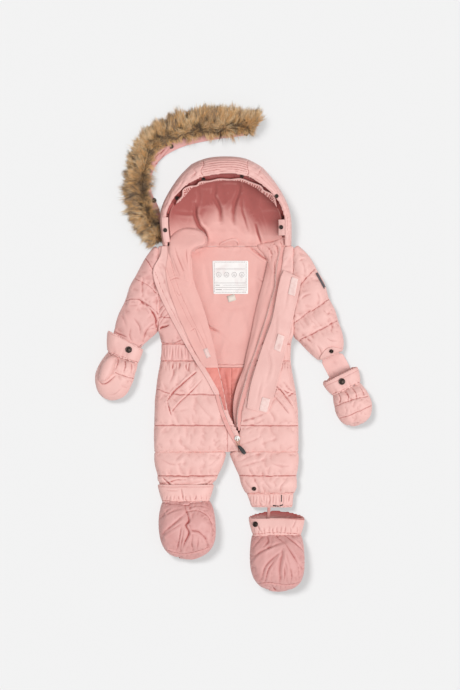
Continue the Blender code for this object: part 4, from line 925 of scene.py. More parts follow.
LEFT_LEG_CREASES = rows(CREASE, """
6 2 3.4 163,477 167,481.5 173.6,486.8 182,487.6 195,486 206,483.6
2.4 2 1.4 154,483 166,483 176,480 188,479.5
2 2 1.2 196,487.5 204,486 212,480
1.4 3.5 0.7 160,458 172,464 186,463
1.2 3.5 0.6 219,456 212,464 204,467
1.2 3 0.6 155,463 158,471 158,480
""")
LEFT_LEG_SEAMS = rows(SEAM, """
2.4 2.2 1.2 8 11 150,475.4 180,475.8 224,475.2
""")
RIGHT_LEG_CREASES = rows(CREASE, """
1.8 3.4 1 237,468 250,464 266,459
1.4 3.4 0.8 239,462 250,456 262,453
1.6 3 0.8 248,466 254,478 260,490
1.5 3 0.8 262,470 264,480 270,488
1.2 3 0.6 270,462 280,466 290,466
1.2 2.6 0.6 286,480 281,486 280,491
1.2 2.6 0.6 244,478 248,485 254,490
""")
RIGHT_LEG_SEAMS = rows(SEAM, """
2.4 2.2 1.1 8 11 234,475.4 262,475.8 302,475.2
1.6 1.8 1.6 6 12 243,493 270,493.2 295,493
""")
HEM_SEAMS = rows(SEAM, """
1.2 1.6 1.2 5.5 9 243,493 270,493.2 295,493
1.2 1.6 1.3 5.5 9 246,506 270,506.2 293,506
""")


def build_shell():
    """The padded panels, sleeves and legs."""
    panel = dict(wrinkle=(0.4, 26.0, 11, 1.6, 0.5), puff=(3.0, 0.016, 5.0, 3.0))
    lower = (LOWER_CREASES + POCKET_LIPS + WAIST_GATHERS[-24:], LOWER_SEAMS + WAIST_SEAMS)
    for node in ("bodice_back", "seat_back"):
        dress(node, 1, "nylon", wrinkle=PLAIN, swell=0.8)
    # the upper left front wears the darker sleeve look: painted shade
    for side, look in (("left", "sleeve"), ("right", "nylon")):
        dress("bodice_front_" + side, 3, look, BODICE_CREASES, BODICE_SEAMS + WAIST_SEAMS, **panel)
        dress("waist_front_" + side, 3, look, WAIST_GATHERS, WAIST_SEAMS, (0.3, 12.0, 12, 1.6, 1.5), puff=(2.0,))
        dress("lower_front_" + side, 3, "nylon", *lower, **panel)
    dress("sleeve_left", 3, "sleeve", LEFT_SLEEVE_CREASES, LEFT_SLEEVE_SEAMS, (0.7, 24.0, 21, 1.8, 1.0),
          puff=(3.0, 0.026, 5.0, 3.5))
    dress("sleeve_right", 3, "nylon", RIGHT_SLEEVE_CREASES, RIGHT_SLEEVE_SEAMS, (0.6, 24.0, 31, 1.8, 2.2),
          puff=(3.0, 0.022, 5.0, 3.5))
    leg = dict(puff=(3.0, 0.018, 5.0, 3.0), swell=2.2)
    dress("leg_left", 3, "nylon", LEFT_LEG_CREASES, LEFT_LEG_SEAMS + LOWER_SEAMS[4:5],
          (0.4, 24.0, 41, 1.6, 0.1), **leg)
    dress("leg_right", 3, "nylon", RIGHT_LEG_CREASES, RIGHT_LEG_SEAMS + LOWER_SEAMS[5:6],
          (0.4, 24.0, 51, 1.6, 0.6), **leg)
    dress("hem_right", 2, "nylon", gathers(247, 293, 494.4, 505, 3.0, 1.1, 145), HEM_SEAMS, (0.3, 14.0, 52),
          above=(5.0, 9.0), puff=(2.2,))


# ---------------------------------------------------------------- mittens and booties

MITTEN_LEFT_CREASES = rows(CREASE, """
2.6 2 1.2 98.5,379 102,383.6 108,382.5 116.7,374.7
1.6 2.2 0.8 112,356 113,362 110,368
1.2 2.2 0.6 133,360 132,366 134,372
1.4 2.4 0.7 99,360 97,368 96,374
1.2 2.4 0.6 122,388 115,394 106,395
""")
MITTEN_GATHERS = rows(CREASE, """
2 1.6 0.9 112,354 111,360 108,367
1.8 1.6 0.8 118,356 118.5,362 116,369
2 1.6 0.9 125,359 126,365 124,372
1.8 1.6 0.8 131,361.5 132.6,367 131.6,374
2 1.6 0.9 338,393 340,398 339,404
1.8 1.6 0.8 345,391 348,396 347.6,402
2 1.6 0.9 352,388 355.6,393 356,399
1.8 1.6 0.8 358,385.6 362,390 364,396
""")
MITTEN_LEFT_SEAMS = rows(SEAM, """
1.6 1.8 0.9 7 9 116,372.5 122,375 131,378 138,379
1.6 1.6 1.6 6.5 13 108.5,352 123,357.5 137.5,363
""")
MITTEN_RIGHT_CREASES = rows(CREASE, """
1.3 2.4 0.7 347,394 350,399 349,404
1.2 2.2 0.6 357,391 359,397 363,401
1.2 2.4 0.6 344,405 346,411 345,417
""")
MITTEN_RIGHT_SEAMS = rows(SEAM, """
1.7 1.8 0.9 7 8 335,406 344,402.5 356,398.6 367,396
1.7 1.8 0.9 7 8 340,418 350,415 361,410 371,405.5
1.4 1.6 1.6 6 12 333,395 346,389 361,382.5
""")
CUFF_SEAMS = rows(SEAM, """
1 1.4 1.2 6 9 108,351.5 123,357 138,362.5
0.8 1.2 0.3 9 5 110,333.5 127,341 142,350.5
1 1.4 1.2 5.5 9 333,394 346,388 361,381.5
0.8 1.2 0.3 9 5 325,386 341,378.5 358,370
1 1.6 1.3 7 9 162,500.5 185,501.5 210,500.5
0.9 1.2 0.3 9 5 158,486.5 184,486.5 213,486.5
1 1.6 1.3 7 9 252,534 276,532 301,534
0.9 1.2 0.3 9 5 249,519 276,517 304,519
""")
LEFT_BOOTIE_SEAMS = rows(SEAM, """
1.6 1.8 2 6 12 161,502 168,503 176,503.4 184,504.4 192,503 202,501 212,499.6
2.2 1.7 0.8 7 7 161,545 170.2,551.1 181.3,553.3 192.4,552.2 200.2,550 209,547
2 1.7 0.6 8 7 186.9,511 198,510 206.9,514.4 212,522
""")
LEFT_BOOTIE_CREASES = rows(CREASE, """
4.2 2.4 2.2 185.4,506 189.1,518.9 186.3,524.4 189.1,532.2 184.7,542.2 182.4,549.5
3.6 3 2 185,513.6 178,519.5 172.4,524.4 165,531 159,538
2.6 2.6 1.4 180,524 170.2,530 163.5,535.5 160.6,543
3 2.6 -1.6 188.6,521 191.3,528.9 199.1,531.1 205.8,537.8 209,547.5
1.8 1.9 1 181.3,526.8 179.7,537.8 177.6,548
1.6 1.9 0.9 184,529 182,540 180.5,551
1.8 2 0.9 183,508 172,511 163,516
1.8 1.9 -0.9 190,507 200,505 210,508
1.8 2 0.8 210.6,516 213,530 212,546
1.3 1.8 0.7 193,536 192,543 193.5,550
1.3 1.8 0.7 198.5,537 198,544 196.5,550
1.4 2 0.8 172,507 166,511 161,519
""")
RIGHT_BOOTIE_SEAMS = rows(SEAM, """
1.6 1.8 2 6 12 252,536 262,533.8 276,532.8 290,533.8 302,534.8
2.2 1.7 0.8 7 7 254,583.6 264.7,582.2 275.8,582.8 286.9,584.4 298,582.2 305,575
""")
RIGHT_BOOTIE_CREASES = rows(CREASE, """
3.6 2.8 1.8 284,541 273.6,544.4 261.3,550 253.6,556.7 248.6,564
3.8 2.2 1.6 281,533.6 286,535.6 292.4,540 299.1,545.6 305,552
3 2.6 1.4 284.7,542.2 293.6,555.6 302,568
3.8 3.6 2.4 283,548 280.4,560 279.4,571 280.6,580.6
-2.2 2.6 0 283.6,550 286.3,560 288,567 288,580
3 2.8 1.6 281.6,550 272.4,557.8 264.7,566.7 261.6,579
2.6 2.4 1.4 277,556 268.6,567.8 265,581
1.6 1.8 0.8 290.6,568 291.6,576 290,583
1.5 1.8 0.8 284,566 284.5,574 283,582
2 1.7 0.9 271.6,584.6 274,588 276.6,591
1.8 2.2 0.9 263,535.6 257,541.6 251,549
1.8 1.8 0.9 275,533 278,537 283,541
1.8 2.2 0.9 267,536 268,541 262,547
1.4 2 0.8 296,560 298.6,569 298,578
""")
CUFF_FOLDS = (gathers(162, 212, 495, 501, 5.0, 1.1, 146) + gathers(254, 302, 526, 534, 5.0, 1.1, 147)
              + rows(CREASE, """
1.6 1.7 0.9 181.3,488 182.4,494 184,502
1.2 1.7 0.7 166,489.6 172,490.4 178,490.2
1.3 1.7 0.7 256.6,524 259,528 262,533
1.2 1.7 0.7 296,519 294,524 292,528
"""))


def cuff_opening_shade(points):
    """Painted shade inside the open top of the right bootie's cuff, with a painted shadow line along its back rim.
    """
    x, y = points.T
    aside = np.abs(x - 276)
    front = np.interp(x, (248, 259, 270, 281, 292, 305), (516.4, 514.9, 515.4, 516.6, 517.6, 518.6))
    back = np.interp(x, (248, 259, 275.8, 292.4, 305), (516.2, 511.9, 510.4, 512.4, 517.6))
    inside = fade(y - back, -4.0, -2.0) * fade(31 - aside, 0, 3)
    line = 0.5 * fade(3.6 - (y - back), 0, 2.4) * fade(24 - aside, 0, 8)
    return inside * (0.75 * fade(front + 1.2 - y, -0.6, 0.6) + line)


def build_mittens_and_booties():
    pad = dict(above=(6.0, 11.0), swell=1.7, puff=(2.5, 0.035, 5.0, 3.0))
    dress("mitten_left", 3, "nylon", MITTEN_LEFT_CREASES + MITTEN_GATHERS, MITTEN_LEFT_SEAMS,
          (0.5, 15.0, 61, 1.4, 0.3), **pad)
    dress("mitten_right", 3, "nylon", MITTEN_RIGHT_CREASES + MITTEN_GATHERS, MITTEN_RIGHT_SEAMS,
          (0.5, 15.0, 62, 1.4, 0.3), **pad)
    drape("mitten_left_thumb", 3, "nylon", wrinkle=(0.3, 12.0, 63), top_only=True)
    dress("bootie_left", 3, "bootie", LEFT_BOOTIE_CREASES, LEFT_BOOTIE_SEAMS, (0.7, 20.0, 64, 1.4, 1.5), **pad)
    dress("bootie_right", 3, "bootie", RIGHT_BOOTIE_CREASES, RIGHT_BOOTIE_SEAMS, (0.7, 20.0, 65, 1.4, 1.5),
          painted_shade=cuff_opening_shade, **pad)
    for number, node in enumerate(("mitten_left", "mitten_right", "bootie_left", "bootie_right")):
        dress(node + "_cuff", 3, "nylon", CUFF_FOLDS, CUFF_SEAMS, (0.35, 14.0, 66 + number, 1.2, 0.2),
              above=(5.0, 9.0), puff=(2.2,), painted_shade=cuff_opening_shade, down=2.6)
    drape("mitten_right_strap", 2, "nylon", wrinkle=(0.25, 14.0, 72), top_only=True)
    drape("bootie_strap", 1, "tape", wrinkle=PLAIN)
    drape("sleeve_tab_right", 3, "nylon", wrinkle=(0.15, 9.0, 73), top_only=True)


# ---------------------------------------------------------------- the open front

BACK_CREASES = rows(CREASE, """
4.4 2.4 1.8 206,322 210,328 218,331.5
6.5 2.2 -2.4 250,247.4 256,252 261.6,256.6 268,260
1.4 2.4 0.9 257,278 261,281 264,282
1.6 3.6 1.2 192,254 197,253 204,250
1.8 4 1.4 252,250 260,258 268,260
1.2 5 0.8 205,262 208,280 212,296
1.4 5 1 258,262 256,282 258,300
1.2 5 0.8 214,306 232,310 250,306
1.4 4 1 209,322 213,330 222,335
1.2 5 0.9 244,316 247,330 246,344
1 4 0.6 222,250 234,252 246,250
1 5 0.7 198,300 204,312 207,324
""")
BACK_SEAMS = rows(SEAM, """
1.6 1.8 0.9 8 9 196,364.6 231,364.6 262,364
0.8 1.6 0.9 9 9 198,248.2 212,247.2 226,247.8 244,247 262,248.8
""")
DEEP_CREASES = rows(CREASE, """
1.6 3 1 214,368 219,380 222,392
1.6 3 1 240,368 238,382 235,396
1.2 2.6 0.8 224,370 227,386 228,400
""")
DEEP_SEAMS = rows(SEAM, """
1.4 1.5 1.4 6 10 231.5,365 231.5,395 230,435
1.6 1.8 1.2 5 10 196,365 231,365 262,364.4
""")
FACING_SEAMS = rows(SEAM, """
0.9 1.1 0.35 9 5 171,262 177,284 189,312 203,340 210,358
0.7 1.3 0.3 9 5 166,266 172,284 184,312 198,338 208,356
""")
PLACKET_SEAMS = rows(SEAM, """
0.7 1 0.3 9 4 154.5,270 163,292 175,316 188,340 200,361
""")
FACING_CREASES = rows(CREASE, """
1.3 1.5 1 182,270.4 186,270.9 190.5,270.6
1.5 1.5 1.1 170.5,280.4 177,278.2 184,281 192,283.4
1 1.2 0.8 176,291 179,295.3 181,294
1 1.2 0.8 178.5,329.8 181,329 184,326.5
1.1 1.3 0.9 191,331 195,328.8 197,334 200.5,342
0.8 1.8 0.7 200,322 204,332 208,344
0.8 3 0.8 176,262 181,272 186,284
0.6 3 0.5 184,292 190,305 196,320
0.7 2.6 0.6 200,336 206,348 211,360
""")
PLACKET_CREASES = rows(CREASE, """
0.7 2.6 0.9 160,268 168,290 180,318
0.6 2.4 0.8 176,314 188,338 200,362
""")
UNDERLAP_CREASES = rows(CREASE, """
0.8 2.6 0.7 272,262 269,280 264,298
0.8 2.6 0.7 258,312 254,330 250,346
1 2.2 0.8 248,352 244,366 240,380
1.2 2 0.9 242,384 238,396 236,408
1.2 2 0.9 238,404 236,416 238,428
""")
FLAP_CREASES = rows(CREASE, """
0.8 3 1 292,276 288,292 285,308
0.8 3 1 277,316 275,334 270,350
0.9 3.4 1.1 268,352 270,366 266,382
0.7 3 0.9 262,380 259,392 257,404
""")


def deep_shade(points):
    """Painted shade on the lining, darker down towards the bottom of the opening and along its sides."""
    x, y = points.T
    middle = 226 + (y - 365) * 0.06
    return 0.75 * fade(y, 372, 424) + 0.30 * fade(np.abs(x - middle) + (y - 365) * 0.2, 10, 24)


def underlap_edge(y):
    """Where the underlap's free edge runs, in picture points."""
    return np.interp(y, (250, 260.7, 290, 329, 380), (266, 267.4, 260, 251.6, 240))


def lining_shade(points):
    """Painted shade on the back's lining under the edge of the underlap."""
    x, y = points.T
    near = np.exp(-(np.maximum(underlap_edge(y) - x, 0) / 5.0) ** 1.3)
    return 0.34 * near * fade(y, 256, 268) * fade(385 - y, 0, 30)


def underlap_fall(points):
    """How far the underlap's free edge comes down to the lining, in mm."""
    x, y = points.T
    return 4.6 * np.clip(1 - (x - underlap_edge(y)) / 7.5, 0, 1) ** 2 * fade(y, 254, 264) * fade(385 - y, 0, 30)


def underlap_shade(points):
    """Painted shade on the underlap, up by the collar and along its own edge."""
    x, y = points.T
    edge = 0.14 * bell(np.maximum(x - underlap_edge(y), 0), 3.0) * fade(y, 250, 260)
    return 0.34 * fade(284 - y, 0, 24) * fade(278 - x, 0, 8) + edge


def build_front():
    for node, levels, look, creases, seams, wrinkle, more in (
            ("back_lining", 5, "fleece", BACK_CREASES, BACK_SEAMS, (0.9, 30.0, 81, 1.5, 1.2),
             dict(painted_shade=lining_shade)),
            ("lower_lining", 4, "lining", DEEP_CREASES, DEEP_SEAMS, (0.6, 14.0, 82, 1.8, 1.5),
             dict(painted_shade=deep_shade)),
            ("facing_left", 4, "fleece", FACING_CREASES, FACING_SEAMS, (0.8, 22.0, 83, 2.0, 1.9),
             dict(swell=1.6)),
            ("lining_left", 3, "lining", (), (), (0.5, 9.0, 84, 1.5, 1.2), dict(painted_shade=deep_shade)),
            ("placket_left", 3, "nylon", PLACKET_CREASES, PLACKET_SEAMS, (0.35, 14.0, 85, 2.0, 2.0),
             dict(swell=1.0)),
            ("zip_tape_left", 2, "tape", (), (), (0.2, 12.0, 86), dict(top_only=False)),
            ("underlap_right", 4, "fleece", UNDERLAP_CREASES, (), (0.6, 20.0, 87, 2.0, 1.3),
             dict(painted_shade=underlap_shade, fall=underlap_fall)),
            ("zip_tape_right", 2, "tape", (), (), (0.15, 12.0, 88), dict(top_only=False))):
        drape(node, levels, look, creases, seams, wrinkle, **{"top_only": True, **more})
    for side, seed, turn in (("left", 89, 2.4), ("right", 90, 0.8)):
        drape("pocket_welt_" + side, 3, "nylon", wrinkle=(0.25, 10.0, seed, 1.5, turn), top_only=True, widen=1.25,
              press=("lower_front_%s_cloth" % side,))
    drape("storm_flap", 4, "nylon", FLAP_CREASES, (), (0.3, 22.0, 91, 2.0, 1.3))
    for number in (1, 2, 3):
        drape("flap_patch_%d" % number, 2, "hook_loop", wrinkle=PLAIN, widen=1.28)
    drape("care_label", 2, "label", wrinkle=(0.25, 22.0, 92), rests=("back_lining_cloth",))


# ---------------------------------------------------------------- hood

# outline x, y, rim x, y of the hood in garment sizes, from the left end of the neck round to the right end
HOOD_EDGE = ((-122, 401.4, -113, 401.4), (-125.5, 426, -116.5, 427), (-128.5, 450, -118, 452),
             (-125, 476, -114.5, 474), (-113, 501, -102, 495), (-98, 525, -86, 513), (-79, 548, -65, 527),
             (-52, 568, -42, 536), (-18, 574, -12, 541), (20, 574, 18, 541.5), (46, 568, 40, 537),
             (75, 549, 62, 526), (95, 524, 84, 509), (111, 499, 99, 494), (122, 475, 110.5, 473),
             (126.3, 450, 115.5, 450), (126.3, 427, 115.5, 427), (126, 401.4, 115, 401.4))
BRIM_ROWS = (0.2, 0.34, 0.48, 0.62, 0.76, 0.9)
BRIM_CREASES = rows(CREASE, """
1.6 2.2 0.9 185,178 180,188 173,196
1.4 2 0.8 172,190 168,201 163.6,211
1.4 2.2 0.8 192,168 196,174 190,180
1.5 2.2 0.8 262,168 268,176 276,184
1.5 2 0.8 276,180 282,190 285,201
1.4 2 0.8 286,206 287.6,220 288,236
1.3 2 0.7 212,170 222,172 233,170
1.2 1.8 0.6 263,160 262,168 258,176
""")
HOOD_CREASES = rows(CREASE, """
7 4.4 0.5 215,184 214.5,192 214,197 217,203 220,211 221,223
6 4.2 0.5 239,182 238.5,192 235,202 233.5,212 233.5,224
1.6 2.8 1 241,196 242,210 245,220 248,231
13 4 3.6 195,205 195,212 195.5,217 199,226 204,232 207,242 207.6,246.6
2.6 3.6 -0.6 175,213 185,214 196,214.4
6 2.6 0.8 256,225 257.5,232 259,237 262,247
1.8 3.6 0.4 198,187 199,200 195.6,212
2.4 7 0 221,184 222,194 224,206
2.6 8 0 245,192 250,202 254,214
2 7 0 186,200 190,206 191,214
""")
FRILL_HEM = spots("161.5,219.5 164.6,217.2 170.5,215.3 175.5,212 176.7,207.5 177.6,202.5 182.6,197 183.6,190.6 "
                  "189.6,187.4 196.9,186.4 200.2,183 210.5,182 219.6,179.9 230,180.6 240.5,179.8 250.5,183.3 "
                  "260.3,187 263.5,191.4 272.8,195.8 275,202.5 275.8,208 275.4,212.3 278.9,216.6 283.4,219.2")
BRIM_SEAMS = rows(SEAM, """
1.8 1.5 0.9 8 7 202,156 203.6,165 201,172 203,176
1.8 1.5 0.9 8 7 250,156 247,165 248.4,173 247,177
""")
HOOD_SEAMS = rows(SEAM, """
0.9 1.8 1.4 9 12 174,246.8 203,247 252,247.2 285,246.8
""")


BRIM_TOP, ALL_ROUND = (7, 10), (0, 17)         # first and last row of HOOD_EDGE


def hood_line(share, ends=ALL_ROUND):
    """A line parallel to the hood's edge, in picture points."""
    edge = np.array(HOOD_EDGE[ends[0]:ends[1] + 1], float)
    return to_point(edge[:, :2] + (edge[:, 2:] - edge[:, :2]) * share - OFFSET)


PLEAT = 5.0                # width of a pleat of the frill in mm
BULGE_SPREAD = 130         # how far a wider place of the frill reaches, in picture points squared


def frill():
    """The gathered band inside the rim: low beside the rim, with painted shade there, a light wavy hem, and pleats
    inside it, with painted shade in them.
    """
    piece, co, _ = fine_copy("hood_frill", 4)
    rim = smooth_line(hood_line(1.0, ends=(1, 16)))

    def depth_at(xy):
        return along_line(xy, rim, EVERYWHERE)[1]

    xy = co[:, :2].copy()
    depth = depth_at(xy)
    points = to_point(xy)
    left, right = (amount * np.exp(-((points - spot) ** 2).sum(axis=1) / BULGE_SPREAD)
                   for amount, spot in ((9.0, (180, 200)), (3.5, (271, 202))))
    wider = left + right + 1.5 * noise(*points.T, 6.0, 113)
    slope = np.stack([depth_at(xy + step) - depth for step in ((0.5, 0.0), (0.0, 0.5))], axis=1)
    slope /= np.maximum(np.linalg.norm(slope, axis=1), 1e-6)[:, None]
    co[:, :2] += slope * (wider * (depth / 14) ** 1.2)[:, None]
    _, gap, side, run, _ = along_line(co[:, :2], smooth_line(FRILL_HEM), EVERYWHERE)
    inner = side < 0
    rise = 1.8 * bell(gap, 1.3)
    rise -= np.where(inner, 5.5 * fade(gap, 0.8, 10), 14.0 * fade(gap, 0.9, 4.0))
    turn = (run + 2.5 * noise(run, gap, 9.0, 111)) * 2 * math.pi / PLEAT
    rise += np.where(inner, 1.5 * np.sin(turn) * fade(gap, 0.8, 3.0), 0)
    rise += 2.2 * noise(run, 0 * run, 17.0, 112)
    co[:, 2] += rise
    set_points(piece, co)
    # painted shade: dark in the gap beside the rim, and in the pleats' valleys
    paint_fold_shade(piece, np.where(inner, 0.30 + 0.30 * np.sin(turn + math.pi), 0.95) * fade(gap, 0.7, 3.0))
    finish_piece(piece, "hood_frill", "nylon")


def hood_inside():
    """The lining of the hood: a bowl with long soft folds, with painted shade where it is deep under the rim and in
    the folds.
    """
    piece, co, normals = fine_copy("hood_lining", 4)
    xy = co[:, :2].copy()
    _, depth, _, _, _ = along_line(xy, smooth_line(hood_line(1.0)), EVERYWHERE)
    x, y = to_point(xy).T
    free = fade(247.5 - y, 0.5, 12.0) * fade(depth, 1.0, 9.0)
    lift = 17.0 * np.clip(1 - depth / 52, 0, 1) ** 2 + 6.0
    folds = crease_relief(xy, HOOD_CREASES)
    relief = np.maximum(lift + folds + wrinkles(xy, 0.8, 26.0, 98, 1.6, 1.5), 0.2) * free
    relief += seam_relief(xy, HOOD_SEAMS) * fade(normals[:, 2], 0.0, 0.5) * (depth > 8)
    co[:, 2] += relief
    set_points(piece, co)
    # painted shade, deepest under the rim and in the folds, and a little painted highlight on the raised folds
    low = 225.5 + 8.0 * fade(x, 238, 262) - 5.0 * bell(x - 216, 6)
    shade = 0.95 * np.exp(-np.maximum(depth - 56, 0) / 30) * fade(low - y + 2.5 * noise(x, y, 12.0, 99), -13, 14)
    paint_fold_shade(piece, shade + np.clip(-folds, 0, 7) * 0.09 - np.clip(folds, 0, 5) * 0.03)
    finish_piece(piece, "hood_lining", "hood_fleece")


def inside_distance(xy, outline):
    """Distance in mm to an outline in picture points, positive inside it."""
    ring = smooth_line([*outline, outline[0]], 4)
    _, gap, _, _, _ = along_line(xy, ring, EVERYWHERE)
    inside = np.zeros(len(xy), bool)
    for (ax, ay), (bx, by) in zip(ring, np.roll(ring, -1, axis=0)):
        crosses = (ay > xy[:, 1]) != (by > xy[:, 1])
        with np.errstate(divide="ignore", invalid="ignore"):
            inside ^= crosses & (xy[:, 0] < (bx - ax) * (xy[:, 1] - ay) / (by - ay) + ax)
    return np.where(inside, gap, -gap)


NO_FOOT = -99.0
MOUND_THICKNESS = 1.2


def mound(name, outline, level, height, reach, look, below, creases, wrinkle, step=1.7, slot="fleece"):
    """A soft bulge of cloth over what lies below: level gives its foot's height at picture points."""
    corners = plan(outline)
    low, high = corners.min(axis=0) - 2 * step, corners.max(axis=0) + 2 * step
    nx, ny = (int(v) + 1 for v in (high - low) / step)
    xs, ys = low[0] + step * np.arange(nx), low[1] + step * np.arange(ny)
    xy = np.stack([v.ravel() for v in np.meshgrid(xs, ys, indexing="ij")], axis=1)
    gap = inside_distance(xy, outline)
    share = np.clip((gap + 0.5) / reach, 0, 1)
    z = level(to_point(xy)) + height(to_point(xy)) * np.sqrt(np.maximum(1 - (1 - share) ** 2, 0))
    z += (crease_relief(xy, creases) + wrinkles(xy, *wrinkle)) * fade(share, 0.05, 0.5)
    foot = np.full(len(xy), NO_FOOT)
    for k in np.flatnonzero(gap < 3 * step):
        spot = top_of(below, *xy[k])
        foot[k] = spot[0] - 0.8 if spot else 4.0
    edge = fade(gap, -step, 2.2 * step)
    z = np.where(foot > NO_FOOT, foot * (1 - edge) + np.maximum(z, foot) * edge, z)
    keep = gap > -1.2 * step
    number = -np.ones(len(xy), int)
    number[keep] = np.arange(keep.sum())
    cells = (i * ny + j for i in range(nx - 1) for j in range(ny - 1))
    rings = ([k, k + ny, k + ny + 1, k + 1] for k in cells)
    faces = [tuple(number[ring].tolist()) for ring in rings if keep[ring].all()]
    piece = joined_mesh(name, np.column_stack([xy, z])[keep], faces, look, slot)

    def change(work):
        bmesh.ops.delete(work, geom=[v for v in work.verts if not v.link_faces], context="VERTS")
        bmesh.ops.solidify(work, geom=work.faces, thickness=MOUND_THICKNESS * MM)
        bmesh.ops.recalc_face_normals(work, faces=work.faces)

    edit(piece.data, change)
    piece.data.shade_smooth()
    paint_fold_shade(piece)
    area = half_area(piece.data)
    register(piece)


ROLL = spots("168.4,246 168.6,239 172.4,234.4 177,231 183.3,228.4 191.5,228.2 198,229.4 203.3,232 206.6,237 "
             "207,242.5 204,246.6 198,248.2 193.6,251.2 191.4,255 190.6,262 191.4,272 192.4,284 188,288 "
             "181,284 175,272 171,260 168.6,253")
ROLL_CREASES = rows(CREASE, """
1.2 1.8 0.6 174.6,246 177.6,256 182,267 186,277
1.2 1.7 0.6 186.5,249 186.8,256 188,265
2.2 1.8 0.9 199,244.6 194.6,248 192.6,253.6
1.2 1.8 0.6 172,254 175,264 180,276
""")
RIGHT_COLLAR = spots("257,244.6 265,242.6 273,241.4 279,238.4 284,235 287.4,234.6 287.8,246 284.6,256 "
                     "281.4,270 277.4,281 272.6,279 269.4,268 267,260.6 262.6,253.6 258,248.6")
RIGHT_COLLAR_CREASES = rows(CREASE, """
2 2.2 0.9 265,245 270,250 273,258
2 2 0.9 272,243 277,247 278,256
1.8 1.8 0.9 279,240 282,246 280,253
1.8 1.8 0.9 284,238 283.6,246 281,257
1.4 1.8 0.7 274,262 274.6,270 275,277
""")


def build_collar():
    """Loose cloth where the hood's lining runs into the two front edges."""
    mound("collar_left", ROLL, lambda p: 24.0 + 12.5 * fade(p[:, 1], 230, 252),
          lambda p: 1.2 + 6.0 * fade(270 - p[:, 1], 0, 26), 14.0, "fleece",
          ("hood_lining_cloth", "facing_left_cloth", "placket_left_cloth", "back_lining_cloth"), ROLL_CREASES,
          (0.35, 15.0, 121, 1.3, 1.3))
    mound("collar_right", RIGHT_COLLAR, lambda p: 13.0 + 9.0 * fade(p[:, 0], 260, 284), lambda p: 2.6, 12.0,
          "fleece", ("hood_lining_cloth", "underlap_right_cloth", "back_lining_cloth"), RIGHT_COLLAR_CREASES,
          (0.8, 7.0, 122, 1.3, 1.8))


def build_hood():
    brim_seams = (*((1.5, 1.2, 0.5, 7.0, 3.0, hood_line(share, ends=BRIM_TOP)) for share in BRIM_ROWS[:5]),
                  *((0.5, 1.2, 0.5, 7.0, 4.0, hood_line(share)) for share in BRIM_ROWS[1::2]), *BRIM_SEAMS)
    outer = smooth_line(hood_line(0.0))

    def rim_shade(points):
        """Painted shade on the brim beside the outline, most on the left."""
        _, gap, _, _, _ = along_line(plan(points), outer, EVERYWHERE)
        return (0.10 + 0.10 * fade(230 - points[:, 0], -10, 50)) * bell(gap, 6)

    for side in ("left", "centre", "right"):
        dress("hood_" + side, 2, "nylon", wrinkle=(0.8, 22.0, 95, 1.2), above=(4.0, 9.0))
    dress("hood_brim", 3, "nylon", BRIM_CREASES, brim_seams, (0.9, 11.0, 96, 1.6, 0.6), above=(6.0, 12.0),
          puff=(2.6,), painted_shade=rim_shade)
    frill()
    hood_inside()
    drape("hood_tab_left", 3, "nylon", wrinkle=(0.2, 9.0, 99), top_only=True)
    drape("hood_tab_right", 3, "nylon", wrinkle=(0.2, 9.0, 100), top_only=True)
    drape("hanger_loop", 2, "fleece", wrinkle=PLAIN)


# ---------------------------------------------------------------- fur

# inner x, y, outer x, y and height of the fur in garment sizes
FUR_ROWS = ((55, 634, 59, 649, 20), (42, 620, 48, 660, 32), (20, 616, 13, 669, 37), (-14, 611, -20, 673, 39),
            (-46, 609, -56, 672, 39), (-84, 604, -98, 660, 39), (-119, 597, -143, 640, 39),
            (-141, 577, -172, 606, 39), (-148, 548, -187, 570, 39), (-150.5, 522, -193, 534, 39),
            (-149, 500, -194, 502, 39), (-144.5, 481, -185, 469, 38), (-136.5, 463, -175, 446, 36),
            (-129.2, 445, -165, 431, 34), (-126.4, 427, -150, 418, 28), (-124.0, 413, -136, 408, 18))
TUFTS = 1250
HAIRS_PER_TUFT = 17
UNDER_HAIRS = 16000
ANY_TURN = 6.3             # a hair's flat side faces any way
UP = np.array((0.0, 0.0, 1.0))


def fur_row(place):
    rows = np.array(FUR_ROWS, float)
    start = int(min(place, len(rows) - 1.0001))
    return rows[start] + (rows[start + 1] - rows[start]) * (place - start)


def fur_site(place, arc, depth):
    """A point inside the fur at a place along it and an arc from its inner edge (0) to its outer one (pi).

    The ways out of the fur, on round the arc and along the fur come with it.
    """
    ix, iy, ox, oy, height = fur_row(place)
    inner, outer = np.array((ix, iy)) - OFFSET, np.array((ox, oy)) - OFFSET
    ahead = fur_row(min(place + 0.2, len(FUR_ROWS) - 1.001))
    behind = fur_row(max(place - 0.2, 0))
    along = np.append((ahead[:2] + ahead[2:4]) - (behind[:2] + behind[2:4]), 0.0)
    along /= np.linalg.norm(along)
    centre, half = (inner + outer) / 2, np.hypot(*(outer - inner)) / 2
    across = np.append((outer - inner) / (2 * half), 0.0)
    out = -math.cos(arc) * across + math.sin(arc) * UP
    tangent = math.sin(arc) * across + math.cos(arc) * UP
    spot = np.append(centre, 3.0) + depth * (-math.cos(arc) * across * half + math.sin(arc) * (height - 5.0) * UP)
    return spot, out, tangent, along


